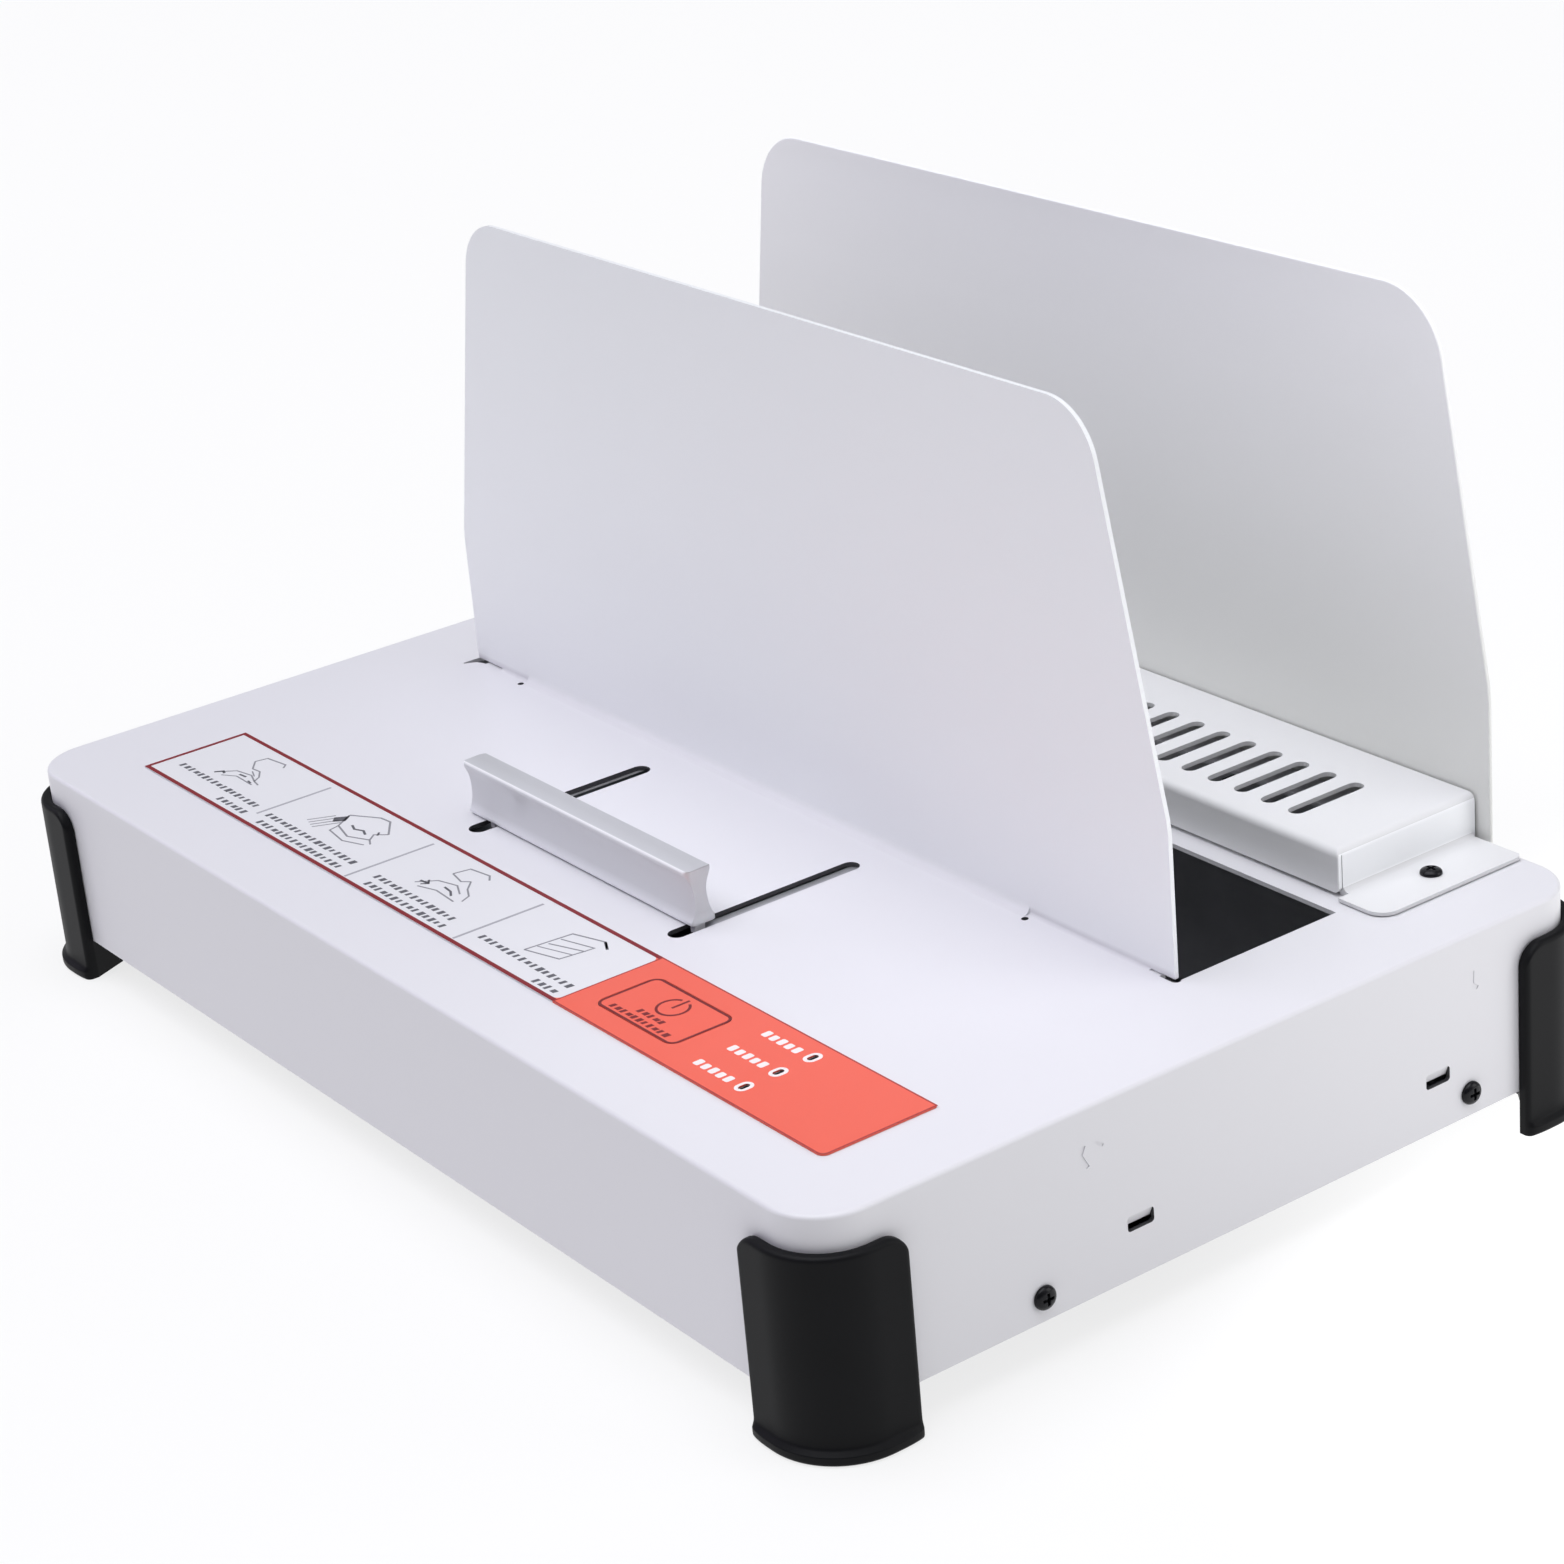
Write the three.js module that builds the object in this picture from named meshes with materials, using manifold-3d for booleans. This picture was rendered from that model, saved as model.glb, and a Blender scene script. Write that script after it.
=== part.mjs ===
// Thermal binding machine: a low sheet-metal case on four black corner feet, with a wide
// heated trough, a front and a rear support plate, a raised vented rear housing, a
// control overlay and a pull handle that slides the clamp in the trough.
// Millimetres, +Z up. Origin: centre of the case in plan, underside of the feet at z = 0.
// Front is -Y, right is +X.
import * as THREE from 'three';
import { mergeVertices } from 'three/addons/utils/BufferGeometryUtils.js';
import Module from 'manifold-3d';

const wasm = await Module();
wasm.setup();

// ---------------------------------------------------------------- driving dimensions
const CASE_L = 372;            // case length along X
const CASE_D = 239;            // case depth along Y
const Z_BOT = 11.5;            // lower edge of the case
const Z_TOP = 60.4;            // top face of the case
const SHEET = 1.2;             // sheet thickness
const R_PLAN = 15;             // case corners seen from above
const R_EDGE = 2;              // bend between the top and the walls

const GUIDE_Y = 13.4;          // front face of the front support plate
const GUIDE_HALF = 154.1;      // its half width at the foot
const GUIDE_KINK_Z = 100.1;    // where its sides start to lean in
const GUIDE_TOP_HALF = 131.6;  // half width, leaning sides produced to the top edge
const GUIDE_TOP_Z = 198.6;
const GUIDE_R = 17;
const BEND_X = [-127.6, 101.8];// ends of the bend that joins the plate to the top
const BEND_R = 2.5;

const REAR_Y = 119.9;          // front face of the rear support plate
const REAR_HALF = 153.6;
const REAR_KINK_Z = 101.2;
const REAR_TOP_HALF = 136.3;
const REAR_TOP_Z = 200.7;
const REAR_LOW_Z = 43;
const REAR_R = 20;

const FOLD_X = [-141, 145.5];   // the plate is one sheet with the top between these
const TROUGH_X = 154.5;         // half length of the trough opening
const TROUGH_Y = [14.6, 65.6];

const HOUSE_HALF = 149;        // raised rear housing
const HOUSE_Y = [71.8, 119.3];
const HOUSE_TOP = 73;
const FLANGE_X = 166.2, FLANGE_Y = 69.8;
const VENT_N = 26, VENT_PITCH = 9.92, VENT_W = 4.6, VENT_Y = [80, 104.6];

const SLOT_X = { '-1': -47.8, 1: 45.2 }, SLOT_W = { '-1': 5.8, 1: 5.2 }, SLOT_Y0 = -56.9, SLOT_Y1 = { '-1': 1.2, 1: 2.4 };
const HANDLE_X = [-58, 46.3];

const LABEL = { x0: -155.8, xm: 54.6, x1: 162.6, y0: -98, y1: -65.3 };
const KEY = { x0: 62.7, x1: 94.9, y0: -91.2, y1: -72.4 };
const LED_X = 123.8, LED_Y = [-71.3, -81.2, -91.0];

const SIDE_SCREW = [[-57.2, 17.8], [78.5, 17.8]];
const SIDE_SLOT = [[-27.7, 25.8], [67.7, 25.8]];
const FLANGE_SCREW = [157.3, 95.3];
const REAR_SCREW_X = [-132, -62, 62, 132], REAR_SCREW_Z = 51.5;

const ROD_X = 34, ROD_Z = 39, ROD_R = 4, ROD_Y = [-99, 7];
const CLAMP_Y = 11.6;          // front face of the clamp plate, jaws open

const INLET = { x: 122, z: 27.5, w: 27.4, h: 19.6 };
const SWITCH = { x: 78, z: 27.5, w: 19.2, h: 12.9 };

const FOOT_LEN = 24.2, FOOT_T = 3, FOOT_LIP = 4.8, FOOT_TOP = 51.8;
const FOOT_SCREW = [178, 111.5];
const PAD_BACK = 10, PAD_SLANT = 0.45, LIP_RUN = 6.5;

// ---------------------------------------------------------------- shape helpers
const V2 = (x, y) => new THREE.Vector2(x, y);

function solid(geometry) {
  let g = geometry.clone();
  g.deleteAttribute('normal');
  g.deleteAttribute('uv');
  g = mergeVertices(g, 1e-5);
  return new wasm.Manifold(new wasm.Mesh({
    numProp: 3,
    vertProperties: new Float32Array(g.attributes.position.array),
    triVerts: new Uint32Array(g.index.array),
  }));
}

function toGeometry(man) {
  const m = man.getMesh();
  const pos = new Float32Array((m.vertProperties.length / m.numProp) * 3);
  for (let i = 0, j = 0; i < m.vertProperties.length; i += m.numProp) {
    pos[j++] = m.vertProperties[i];
    pos[j++] = m.vertProperties[i + 1];
    pos[j++] = m.vertProperties[i + 2];
  }
  const g = new THREE.BufferGeometry();
  g.setAttribute('position', new THREE.BufferAttribute(pos, 3));
  g.setIndex(Array.from(m.triVerts));
  g.computeVertexNormals();
  return g;
}

const union = (...s) => s.reduce((a, b) => a.add(b));
const cut = (a, ...s) => s.reduce((x, b) => x.subtract(b), a);

function box(x0, x1, y0, y1, z0, z1) {
  const g = new THREE.BoxGeometry(x1 - x0, y1 - y0, z1 - z0);
  g.translate((x0 + x1) / 2, (y0 + y1) / 2, (z0 + z1) / 2);
  return solid(g);
}

// prism along Z from plan points [x, y]
function prismZ(pts, z0, z1) {
  const g = new THREE.ExtrudeGeometry(new THREE.Shape(pts.map((p) => V2(p[0], p[1]))),
    { depth: z1 - z0, bevelEnabled: false, steps: 1 });
  g.translate(0, 0, z0);
  return solid(g);
}
// prism along Y from points [x, z]
function prismY(pts, y0, y1) {
  const g = new THREE.ExtrudeGeometry(new THREE.Shape(pts.map((p) => V2(p[0], p[1]))),
    { depth: y1 - y0, bevelEnabled: false, steps: 1 });
  g.rotateX(Math.PI / 2);       // local z runs towards -Y
  g.translate(0, y1, 0);
  return solid(g);
}
// prism along X from points [y, z]
function prismX(pts, x0, x1) {
  const g = new THREE.ExtrudeGeometry(new THREE.Shape(pts.map((p) => V2(p[0], p[1]))),
    { depth: x1 - x0, bevelEnabled: false, steps: 1 });
  g.applyMatrix4(new THREE.Matrix4().set(
    0, 0, 1, x0,
    1, 0, 0, 0,
    0, 1, 0, 0,
    0, 0, 0, 1));
  return solid(g);
}

function cyl(axis, a, b, r, c0, c1, n = 16, r2 = r) {
  const g = new THREE.CylinderGeometry(r2, r, c1 - c0, n, 1, false);
  if (axis === 'z') { g.rotateX(Math.PI / 2); g.translate(a, b, (c0 + c1) / 2); }
  if (axis === 'y') g.translate(a, (c0 + c1) / 2, b);
  if (axis === 'x') { g.rotateZ(-Math.PI / 2); g.translate((c0 + c1) / 2, a, b); }
  return solid(g);
}

// rounded rectangle, counter-clockwise
function rrect(x0, x1, y0, y1, r, n = 6) {
  const out = [];
  const c = [[x1 - r, y0 + r, -90], [x1 - r, y1 - r, 0], [x0 + r, y1 - r, 90], [x0 + r, y0 + r, 180]];
  for (const [cx, cy, a0] of c) {
    for (let i = 0; i <= n; i++) {
      const a = (a0 + (90 * i) / n) * Math.PI / 180;
      out.push([cx + r * Math.cos(a), cy + r * Math.sin(a)]);
    }
  }
  return out;
}

// closed body through rings that hold the same number of [x, y, z] points, bottom to top
function loft(rings) {
  const n = rings[0].length;
  const pos = rings.flat().flat();
  const idx = [];
  for (let k = 0; k < rings.length - 1; k++) {
    for (let i = 0; i < n; i++) {
      const j = (i + 1) % n;
      const a = k * n + i, b = k * n + j, c = (k + 1) * n + j, d = (k + 1) * n + i;
      idx.push(a, b, c, a, c, d);
    }
  }
  const cap = (ring, base, up) => {
    for (const t of THREE.ShapeUtils.triangulateShape(ring.map((p) => V2(p[0], p[1])), [])) {
      if (up) idx.push(base + t[0], base + t[1], base + t[2]);
      else idx.push(base + t[0], base + t[2], base + t[1]);
    }
  };
  cap(rings[0], 0, false);
  cap(rings[rings.length - 1], (rings.length - 1) * n, true);
  const g = new THREE.BufferGeometry();
  g.setAttribute('position', new THREE.Float32BufferAttribute(pos, 3));
  g.setIndex(idx);
  return solid(g);
}

// outline of a support plate, points [x, z]
function plateOutline(half, z0, kink, topHalf, zt, r, n = 6) {
  const side = [];
  // rounded upper corner between the leaning side and the top edge
  const dir = V2(topHalf - half, zt - kink).normalize();
  const corner = V2(topHalf, zt);
  const ang = Math.acos(dir.x);                       // inner angle at the corner
  const d = r / Math.tan(ang / 2);
  const p0 = V2(corner.x - dir.x * d, corner.y - dir.y * d);
  const p1 = V2(corner.x - d, corner.y);
  const centre = V2(p1.x, p1.y - r);
  const a0 = Math.atan2(p0.y - centre.y, p0.x - centre.x), a1 = Math.PI / 2;
  side.push([half, kink]);
  for (let i = 0; i <= n; i++) {
    const a = a0 + ((a1 - a0) * i) / n;
    side.push([centre.x + r * Math.cos(a), centre.y + r * Math.sin(a)]);
  }
  const right = [[half, z0], ...side];
  const left = right.map(([x, z]) => [-x, z]).reverse();
  return [...right, ...left];
}

function mirrored(man, sx, sy) {
  const g = toGeometry(man);
  g.deleteAttribute('normal');
  g.scale(sx, sy, 1);
  if (sx * sy < 0) {
    const ix = g.index.array;
    for (let i = 0; i < ix.length; i += 3) { const t = ix[i]; ix[i] = ix[i + 1]; ix[i + 1] = t; }
  }
  return solid(g);
}

const model = new THREE.Group();
function add(name, man, color, roughness, metalness) {
  const mesh = new THREE.Mesh(toGeometry(man),
    new THREE.MeshStandardMaterial({ color, roughness, metalness }));
  mesh.name = name;
  model.add(mesh);
}

const WHITE = 0xE8E7F1, PLATE = 0xD6D6E0, HANDLE = 0xC4C4CE, BLACK = 0x1C1D1F, SCREW = 0x202124;
const STEEL = 0xB4B6BA, ZINC = 0xA9ACB0, ALU = 0xBFC1C4, PCB = 0x1F5A38;

// ---------------------------------------------------------------- top case with front plate
const HL = CASE_L / 2, HD = CASE_D / 2;
function caseRings(inset, re, z0) {
  const ring = (i, z) => rrect(-HL + i, HL - i, -HD + i, HD - i, R_PLAN - i, 8).map(([x, y]) => [x, y, z]);
  const rings = [ring(inset, z0), ring(inset, Z_TOP - R_EDGE)];
  for (let k = 1; k <= 4; k++) {
    const a = (k * 22.5 * Math.PI) / 180;
    rings.push(ring(inset + re * (1 - Math.cos(a)), Z_TOP - R_EDGE + re * Math.sin(a)));
  }
  return rings;
}
let topCase = loft(caseRings(0, R_EDGE, Z_BOT)).subtract(loft(caseRings(SHEET, R_EDGE - SHEET, Z_BOT - 1)));
{
  const zc = [55, 65];
  const cuts = [
    box(-TROUGH_X, TROUGH_X, TROUGH_Y[0], TROUGH_Y[1], ...zc),
    prismZ([[-155, 8.2], [-154.3, 8.2], [-153, 10.6], [-151.4, 11.9], [-149.3, 12.5], [-149.3, 14.8], [-155, 14.8]], ...zc),
    prismZ([[155, 13.6], [155, 14.8], [149.3, 14.8], [149.3, 12.7], [154, 12.7]], ...zc),
    cyl('z', BEND_X[0], 10.9, 1.1, ...zc, 12),
    cyl('z', BEND_X[1], 10.9, 1.1, ...zc, 12),
    prismZ(rrect(KEY.x0 - 0.3, KEY.x1 + 0.3, KEY.y0 - 0.3, KEY.y1 + 0.3, 3.3, 5), ...zc),
    box(-132, 132, 84, 108, ...zc),
    prismY(rrect(INLET.x - INLET.w / 2 - 0.2, INLET.x + INLET.w / 2 + 0.2, INLET.z - INLET.h / 2 - 0.2, INLET.z + INLET.h / 2 + 0.2, 2, 3), HD - 5, HD + 5),
    prismY(rrect(SWITCH.x - SWITCH.w / 2 - 0.2, SWITCH.x + SWITCH.w / 2 + 0.2, SWITCH.z - SWITCH.h / 2 - 0.2, SWITCH.z + SWITCH.h / 2 + 0.2, 1, 2), HD - 5, HD + 5),
  ];
  for (const s of [-1, 1]) {
    cuts.push(prismZ(rrect(SLOT_X[s] - SLOT_W[s] / 2, SLOT_X[s] + SLOT_W[s] / 2, SLOT_Y0, SLOT_Y1[s], SLOT_W[s] / 2 - 0.001, 5), ...zc));
    cuts.push(cyl('z', s * FLANGE_SCREW[0], FLANGE_SCREW[1], 1.7, ...zc, 12));
    for (const [y, z] of SIDE_SCREW) cuts.push(cyl('x', y, z, 2.2, s * HL - 4, s * HL + 4, 12));
    for (const [y, z] of SIDE_SLOT) cuts.push(prismX(rrect(y - 4, y + 4, z - 2, z + 2, 0.8, 2), s * HL - 1.6, s * HL + 1.6));
  }
  for (const y of LED_Y) cuts.push(cyl('z', LED_X, y, 1.9, ...zc, 14));
  for (const x of REAR_SCREW_X) cuts.push(cyl('y', x, REAR_SCREW_Z, 1.7, HD - 4, HD + 4, 12));
  topCase = cut(topCase, ...cuts);
  // a lip bent inwards from the upper edge of each side slot
  for (const s of [-1, 1]) {
    for (const [y, z] of SIDE_SLOT) {
      let lip = [[HL - 0.3, z + 1.95], [HL - 0.3, z + 2.6], [HL - 1.3, z + 2.6], [HL - 2.3, z - 0.45], [HL - 1.45, z - 0.75]];
      if (s > 0) lip = lip.map(([a, b]) => [a, b]);
      else lip = lip.map(([a, b]) => [-a, b]).reverse();
      topCase = topCase.add(prismY(lip, y - 3.9, y + 3.9));
    }
  }

  const outline = plateOutline(GUIDE_HALF, Z_TOP + 0.5, GUIDE_KINK_Z, GUIDE_TOP_HALF, GUIDE_TOP_Z, GUIDE_R, 6);
  const plate = prismY(outline, GUIDE_Y, GUIDE_Y + SHEET);
  const root = box(FOLD_X[0], FOLD_X[1], GUIDE_Y, GUIDE_Y + SHEET, Z_TOP - SHEET, Z_TOP + 2);
  const fold = (ra, xa, xb) => {
    const fil = [[GUIDE_Y + 0.4, Z_TOP - 0.4], [GUIDE_Y + 0.4, Z_TOP + ra]];
    for (let k = 0; k <= 4; k++) {
      const a = (-k * 22.5 * Math.PI) / 180;
      fil.push([GUIDE_Y - ra + ra * Math.cos(a), Z_TOP + ra + ra * Math.sin(a)]);
    }
    fil.push([GUIDE_Y - ra, Z_TOP - 0.4]);
    return prismX(fil.reverse(), xa, xb);
  };
  topCase = union(topCase, plate, root, fold(BEND_R, BEND_X[0] + 1, BEND_X[1] - 1),
    fold(0.9, FOLD_X[0], BEND_X[0] + 1.1), fold(0.9, BEND_X[1] - 1.1, FOLD_X[1]));
}
add('top_case', topCase, WHITE, 0.42, 0.1);

// ---------------------------------------------------------------- base plate
{
  const z0 = Z_BOT + 0.1, z1 = z0 + SHEET, i = 1.5;
  let b = prismZ(rrect(-HL + i, HL - i, -HD + i, HD - i, R_PLAN - i, 6), z0, z1);
  for (const s of [-1, 1]) {
    const xa = s > 0 ? HL - 2.9 : -HL + 1.7, xb = s > 0 ? HL - 1.7 : -HL + 2.9;
    b = b.add(box(xa, xb, -82, 90, z0, 22.4));
    for (const [y, z] of SIDE_SCREW) b = b.subtract(cyl('x', y, z, 2.15, s * HL - 6, s * HL + 6, 12));
  }
  for (const [x, y] of [[78, -44], [166, -44], [78, 2], [166, 2]]) b = b.add(cyl('z', x, y, 2.5, z1 - 0.2, 17.9, 10));
  for (let k = 0; k < 6; k++) {
    b = b.subtract(prismZ(rrect(-160 + k * 14, -155 + k * 14, -70, -30, 2.4, 2), z0 - 1, z1 + 1));
    b = b.subtract(prismZ(rrect(-40 + k * 14, -35 + k * 14, 84, 108, 2.4, 2), z0 - 1, z1 + 1));
  }
  for (const sx of [-1, 1]) for (const sy of [-1, 1]) b = b.subtract(cyl('z', sx * FOOT_SCREW[0], sy * FOOT_SCREW[1], 2.1, z0 - 1, z1 + 1, 12));
  add('base_plate', b, 0xC9CACF, 0.45, 0.6);
}

// ---------------------------------------------------------------- corner feet
function ringPoly(inner, outer, len, n = 8) {
  // corner at +X, -Y; offsets are measured outwards from the case wall
  const cx = HL - R_PLAN, cy = -HD + R_PLAN;
  const yEnd = -HD + len, xEnd = HL - len;
  const arc = (o) => {
    const out = [];
    const r = R_PLAN + o;
    for (let k = 0; k <= n; k++) {
      const a = (-90 + (90 * k) / n) * Math.PI / 180;
      out.push([cx + r * Math.cos(a), cy + r * Math.sin(a)]);
    }
    return out;
  };
  const o = arc(outer), i = arc(inner).reverse();
  return [[xEnd, -HD - outer], ...o, [HL + outer, yEnd], [HL + inner, yEnd], ...i, [xEnd, -HD - inner]];
}
// the lip swells out of the wall over LIP_RUN at each end
function lipPoly(outer, len) {
  const flat = ringPoly(-13, outer, len);
  const b = Math.min(outer, 0.2 + FOOT_T), m = b + 0.75 * (outer - b);
  const xEnd = HL - len, yEnd = -HD + len;
  const arc = flat.slice(1, flat.findIndex(([x, y]) => Math.abs(x - (HL + outer)) < 1e-9 && Math.abs(y - yEnd) < 1e-9));
  const rest = flat.slice(flat.findIndex(([x, y]) => Math.abs(x - (HL - 13)) < 1e-9 && Math.abs(y - yEnd) < 1e-9));
  return [[xEnd, -HD - b], [xEnd + LIP_RUN * 0.35, -HD - m], [xEnd + LIP_RUN, -HD - outer], ...arc,
    [HL + outer, yEnd - LIP_RUN], [HL + m, yEnd - LIP_RUN * 0.35], [HL + b, yEnd], ...rest];
}
function makeFoot() {
  let f = prismZ(ringPoly(0.2, 0.2 + FOOT_T, FOOT_LEN), 3, FOOT_TOP);
  const r = 6, bite = (c, s) => {
    const pts = [[c + s * 0.6, FOOT_TOP + 0.6], [c + s * 0.6, FOOT_TOP - r]];
    for (let k = 0; k <= 5; k++) {
      const a = (k * 18 * Math.PI) / 180;
      pts.push([c - s * r + s * r * Math.cos(a), FOOT_TOP - r + r * Math.sin(a)]);
    }
    pts.push([c - s * r, FOOT_TOP + 0.6]);
    return s > 0 ? pts.reverse() : pts;
  };
  f = f.subtract(prismX(bite(-HD + FOOT_LEN, 1), HL - 2, HL + 8));
  f = f.subtract(prismY(bite(HL - FOOT_LEN, -1), -HD - 8, -HD + 2));
  f = f.add(prismZ(ringPoly(-13, 0.2 + FOOT_T, FOOT_LEN), 6, Z_BOT - 0.1));
  const lip = (o, z) => lipPoly(o, FOOT_LEN).map(([x, y]) => [x, y, z]);
  f = f.add(loft([lip(FOOT_LIP - 0.9, 0), lip(FOOT_LIP, 0.9), lip(FOOT_LIP, 2.2), lip(FOOT_T + 0.25, 5.2)]));
  // the pad under the case stops short of the end of the side wall with its inner corner cut off, and its other end is slanted
  const yPad = -HD + FOOT_LEN - PAD_BACK;
  f = f.subtract(prismZ([[HL - 14, yPad - 4.4], [HL - 8.5, yPad], [HL + 0.2, yPad], [HL + 0.2, -HD + FOOT_LEN + 1], [HL - 14, -HD + FOOT_LEN + 1]], -1, Z_BOT - 0.05));
  f = f.subtract(prismZ([[HL - FOOT_LEN - 1, -HD - 0.2], [HL - FOOT_LEN, -HD - 0.2], [HL - FOOT_LEN + PAD_SLANT * 13.4, -HD + 13.2], [HL - FOOT_LEN - 1, -HD + 13.2]], -1, Z_BOT - 0.05));
  f = f.subtract(cyl('z', FOOT_SCREW[0], -FOOT_SCREW[1], 4.2, -1, 5, 14));
  f = f.subtract(cyl('z', FOOT_SCREW[0], -FOOT_SCREW[1], 2.1, -1, 14, 12));
  return f;
}
{
  const f = makeFoot();
  add('foot_front_right', f, BLACK, 0.4, 0.0);
  add('foot_front_left', mirrored(f, -1, 1), BLACK, 0.4, 0.0);
  add('foot_rear_right', mirrored(f, 1, -1), BLACK, 0.4, 0.0);
  add('foot_rear_left', mirrored(f, -1, -1), BLACK, 0.4, 0.0);
  for (const [nx, sx] of [['left', -1], ['right', 1]]) {
    for (const [ny, sy] of [['front', -1], ['rear', 1]]) {
      const x = sx * FOOT_SCREW[0], y = sy * FOOT_SCREW[1];
      add(`foot_screw_${ny}_${nx}`, union(cyl('z', x, y, 3.5, 2.2, 4.9, 12), cyl('z', x, y, 2, 4.7, 17, 10)), ZINC, 0.35, 0.9);
    }
  }
}

// ---------------------------------------------------------------- raised rear housing
{
  const ring = (i, re, z, y1) => rrect(-HOUSE_HALF + i, HOUSE_HALF - i, HOUSE_Y[0] + i, y1, re, 3).map(([x, y]) => [x, y, z]);
  const outer = [ring(0, 0.4, Z_TOP + 0.1, HOUSE_Y[1]), ring(0, 0.4, HOUSE_TOP - 2, HOUSE_Y[1])];
  const inner = [ring(SHEET, 0.3, Z_TOP - 2, 130), ring(SHEET, 0.3, HOUSE_TOP - 2, 130)];
  for (let k = 1; k <= 3; k++) {
    const a = (k * 30 * Math.PI) / 180;
    outer.push(ring(2 * (1 - Math.cos(a)), 0.4, HOUSE_TOP - 2 + 2 * Math.sin(a), HOUSE_Y[1]));
    inner.push(ring(SHEET + 0.8 * (1 - Math.cos(a)), 0.3, HOUSE_TOP - 2 + 0.8 * Math.sin(a), 130));
  }
  let h = loft(outer).subtract(loft(inner));
  for (const s of [-1, 1]) {
    const r = 5.3, xo = FLANGE_X, y0 = FLANGE_Y, y1 = HOUSE_Y[1] - 1;
    let pts = [[HOUSE_HALF - 0.8, HOUSE_Y[0] + 1.6], [HOUSE_HALF + 2, HOUSE_Y[0] + 1.6], [HOUSE_HALF + 2, y0]];
    for (let k = 0; k <= 5; k++) { const a = (-90 + 18 * k) * Math.PI / 180; pts.push([xo - r + r * Math.cos(a), y0 + r + r * Math.sin(a)]); }
    pts.push([xo, y1 - 1.2], [xo - 1.2, y1], [HOUSE_HALF - 0.8, y1]);
    if (s < 0) pts = pts.map(([x, y]) => [-x, y]).reverse();
    h = h.add(prismZ(pts, Z_TOP + 0.1, Z_TOP + 0.1 + SHEET));
    // the front flap ends just short of the end wall and of the case top
    const xa = s > 0 ? HOUSE_HALF - 2 : -HOUSE_HALF - 1, xb = s > 0 ? HOUSE_HALF + 1 : -HOUSE_HALF + 2;
    h = h.subtract(box(xa, xb, HOUSE_Y[0] + 1.25, HOUSE_Y[0] + 1.55, Z_TOP - 1, HOUSE_TOP - 1.6));
    h = h.subtract(cyl('z', s * FLANGE_SCREW[0], FLANGE_SCREW[1], 1.7, Z_TOP - 2, Z_TOP + 5, 12));
  }
  for (let k = 0; k < VENT_N; k++) {
    const x = (k - (VENT_N - 1) / 2) * VENT_PITCH;
    h = h.subtract(prismZ(rrect(x - VENT_W / 2, x + VENT_W / 2, VENT_Y[0], VENT_Y[1], VENT_W / 2 - 0.001, 2), HOUSE_TOP - 4, HOUSE_TOP + 2));
  }
  h = h.subtract(box(-HOUSE_HALF - 1, HOUSE_HALF + 1, HOUSE_Y[0] - 1, HOUSE_Y[0] + 1.4, Z_TOP - 1, Z_TOP + 1));
  add('rear_housing', h, WHITE, 0.42, 0.1);
  for (const [n, s] of [['left', -1], ['right', 1]]) {
    add(`flange_screw_${n}`, union(
      cyl('z', s * FLANGE_SCREW[0], FLANGE_SCREW[1], 3.2, Z_TOP + 1.35, Z_TOP + 3.0, 14, 2.5),
      cyl('z', s * FLANGE_SCREW[0], FLANGE_SCREW[1], 1.5, Z_TOP - 5, Z_TOP + 1.8, 10)), SCREW, 0.4, 0.5);
  }
}

// ---------------------------------------------------------------- rear support plate
{
  let p = prismY(plateOutline(REAR_HALF, REAR_LOW_Z, REAR_KINK_Z, REAR_TOP_HALF, REAR_TOP_Z, REAR_R, 6), REAR_Y, REAR_Y + SHEET);
  for (const x of REAR_SCREW_X) p = p.subtract(cyl('y', x, REAR_SCREW_Z, 1.7, REAR_Y - 2, REAR_Y + 4, 12));
  add('rear_plate', p, PLATE, 0.42, 0.1);
  REAR_SCREW_X.forEach((x, k) => add(`rear_screw_${k + 1}`, union(
    cyl('y', x, REAR_SCREW_Z, 2.5, REAR_Y + SHEET + 0.05, REAR_Y + SHEET + 1.8, 14, 3.2).intersect(box(x - 5, x + 5, 110, 130, 40, 60)),
    cyl('y', x, REAR_SCREW_Z, 1.5, REAR_Y - 6, REAR_Y + SHEET + 0.3, 10)), SCREW, 0.4, 0.5));
}

// ---------------------------------------------------------------- side screws
for (const [n, s] of [['left', -1], ['right', 1]]) {
  SIDE_SCREW.forEach(([y, z], k) => {
    const head = s > 0 ? cyl('x', y, z, 3.4, HL + 0.1, HL + 2.0, 16, 2.4) : cyl('x', y, z, 2.4, -HL - 2.0, -HL - 0.1, 16, 3.4);
    const shank = s > 0 ? cyl('x', y, z, 2.0, HL - 8, HL + 0.3, 10) : cyl('x', y, z, 2.0, -HL - 0.3, -HL + 8, 10);
    add(`side_screw_${n}_${k ? 'rear' : 'front'}`, union(head, shank), SCREW, 0.35, 0.6);
  });
}

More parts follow.
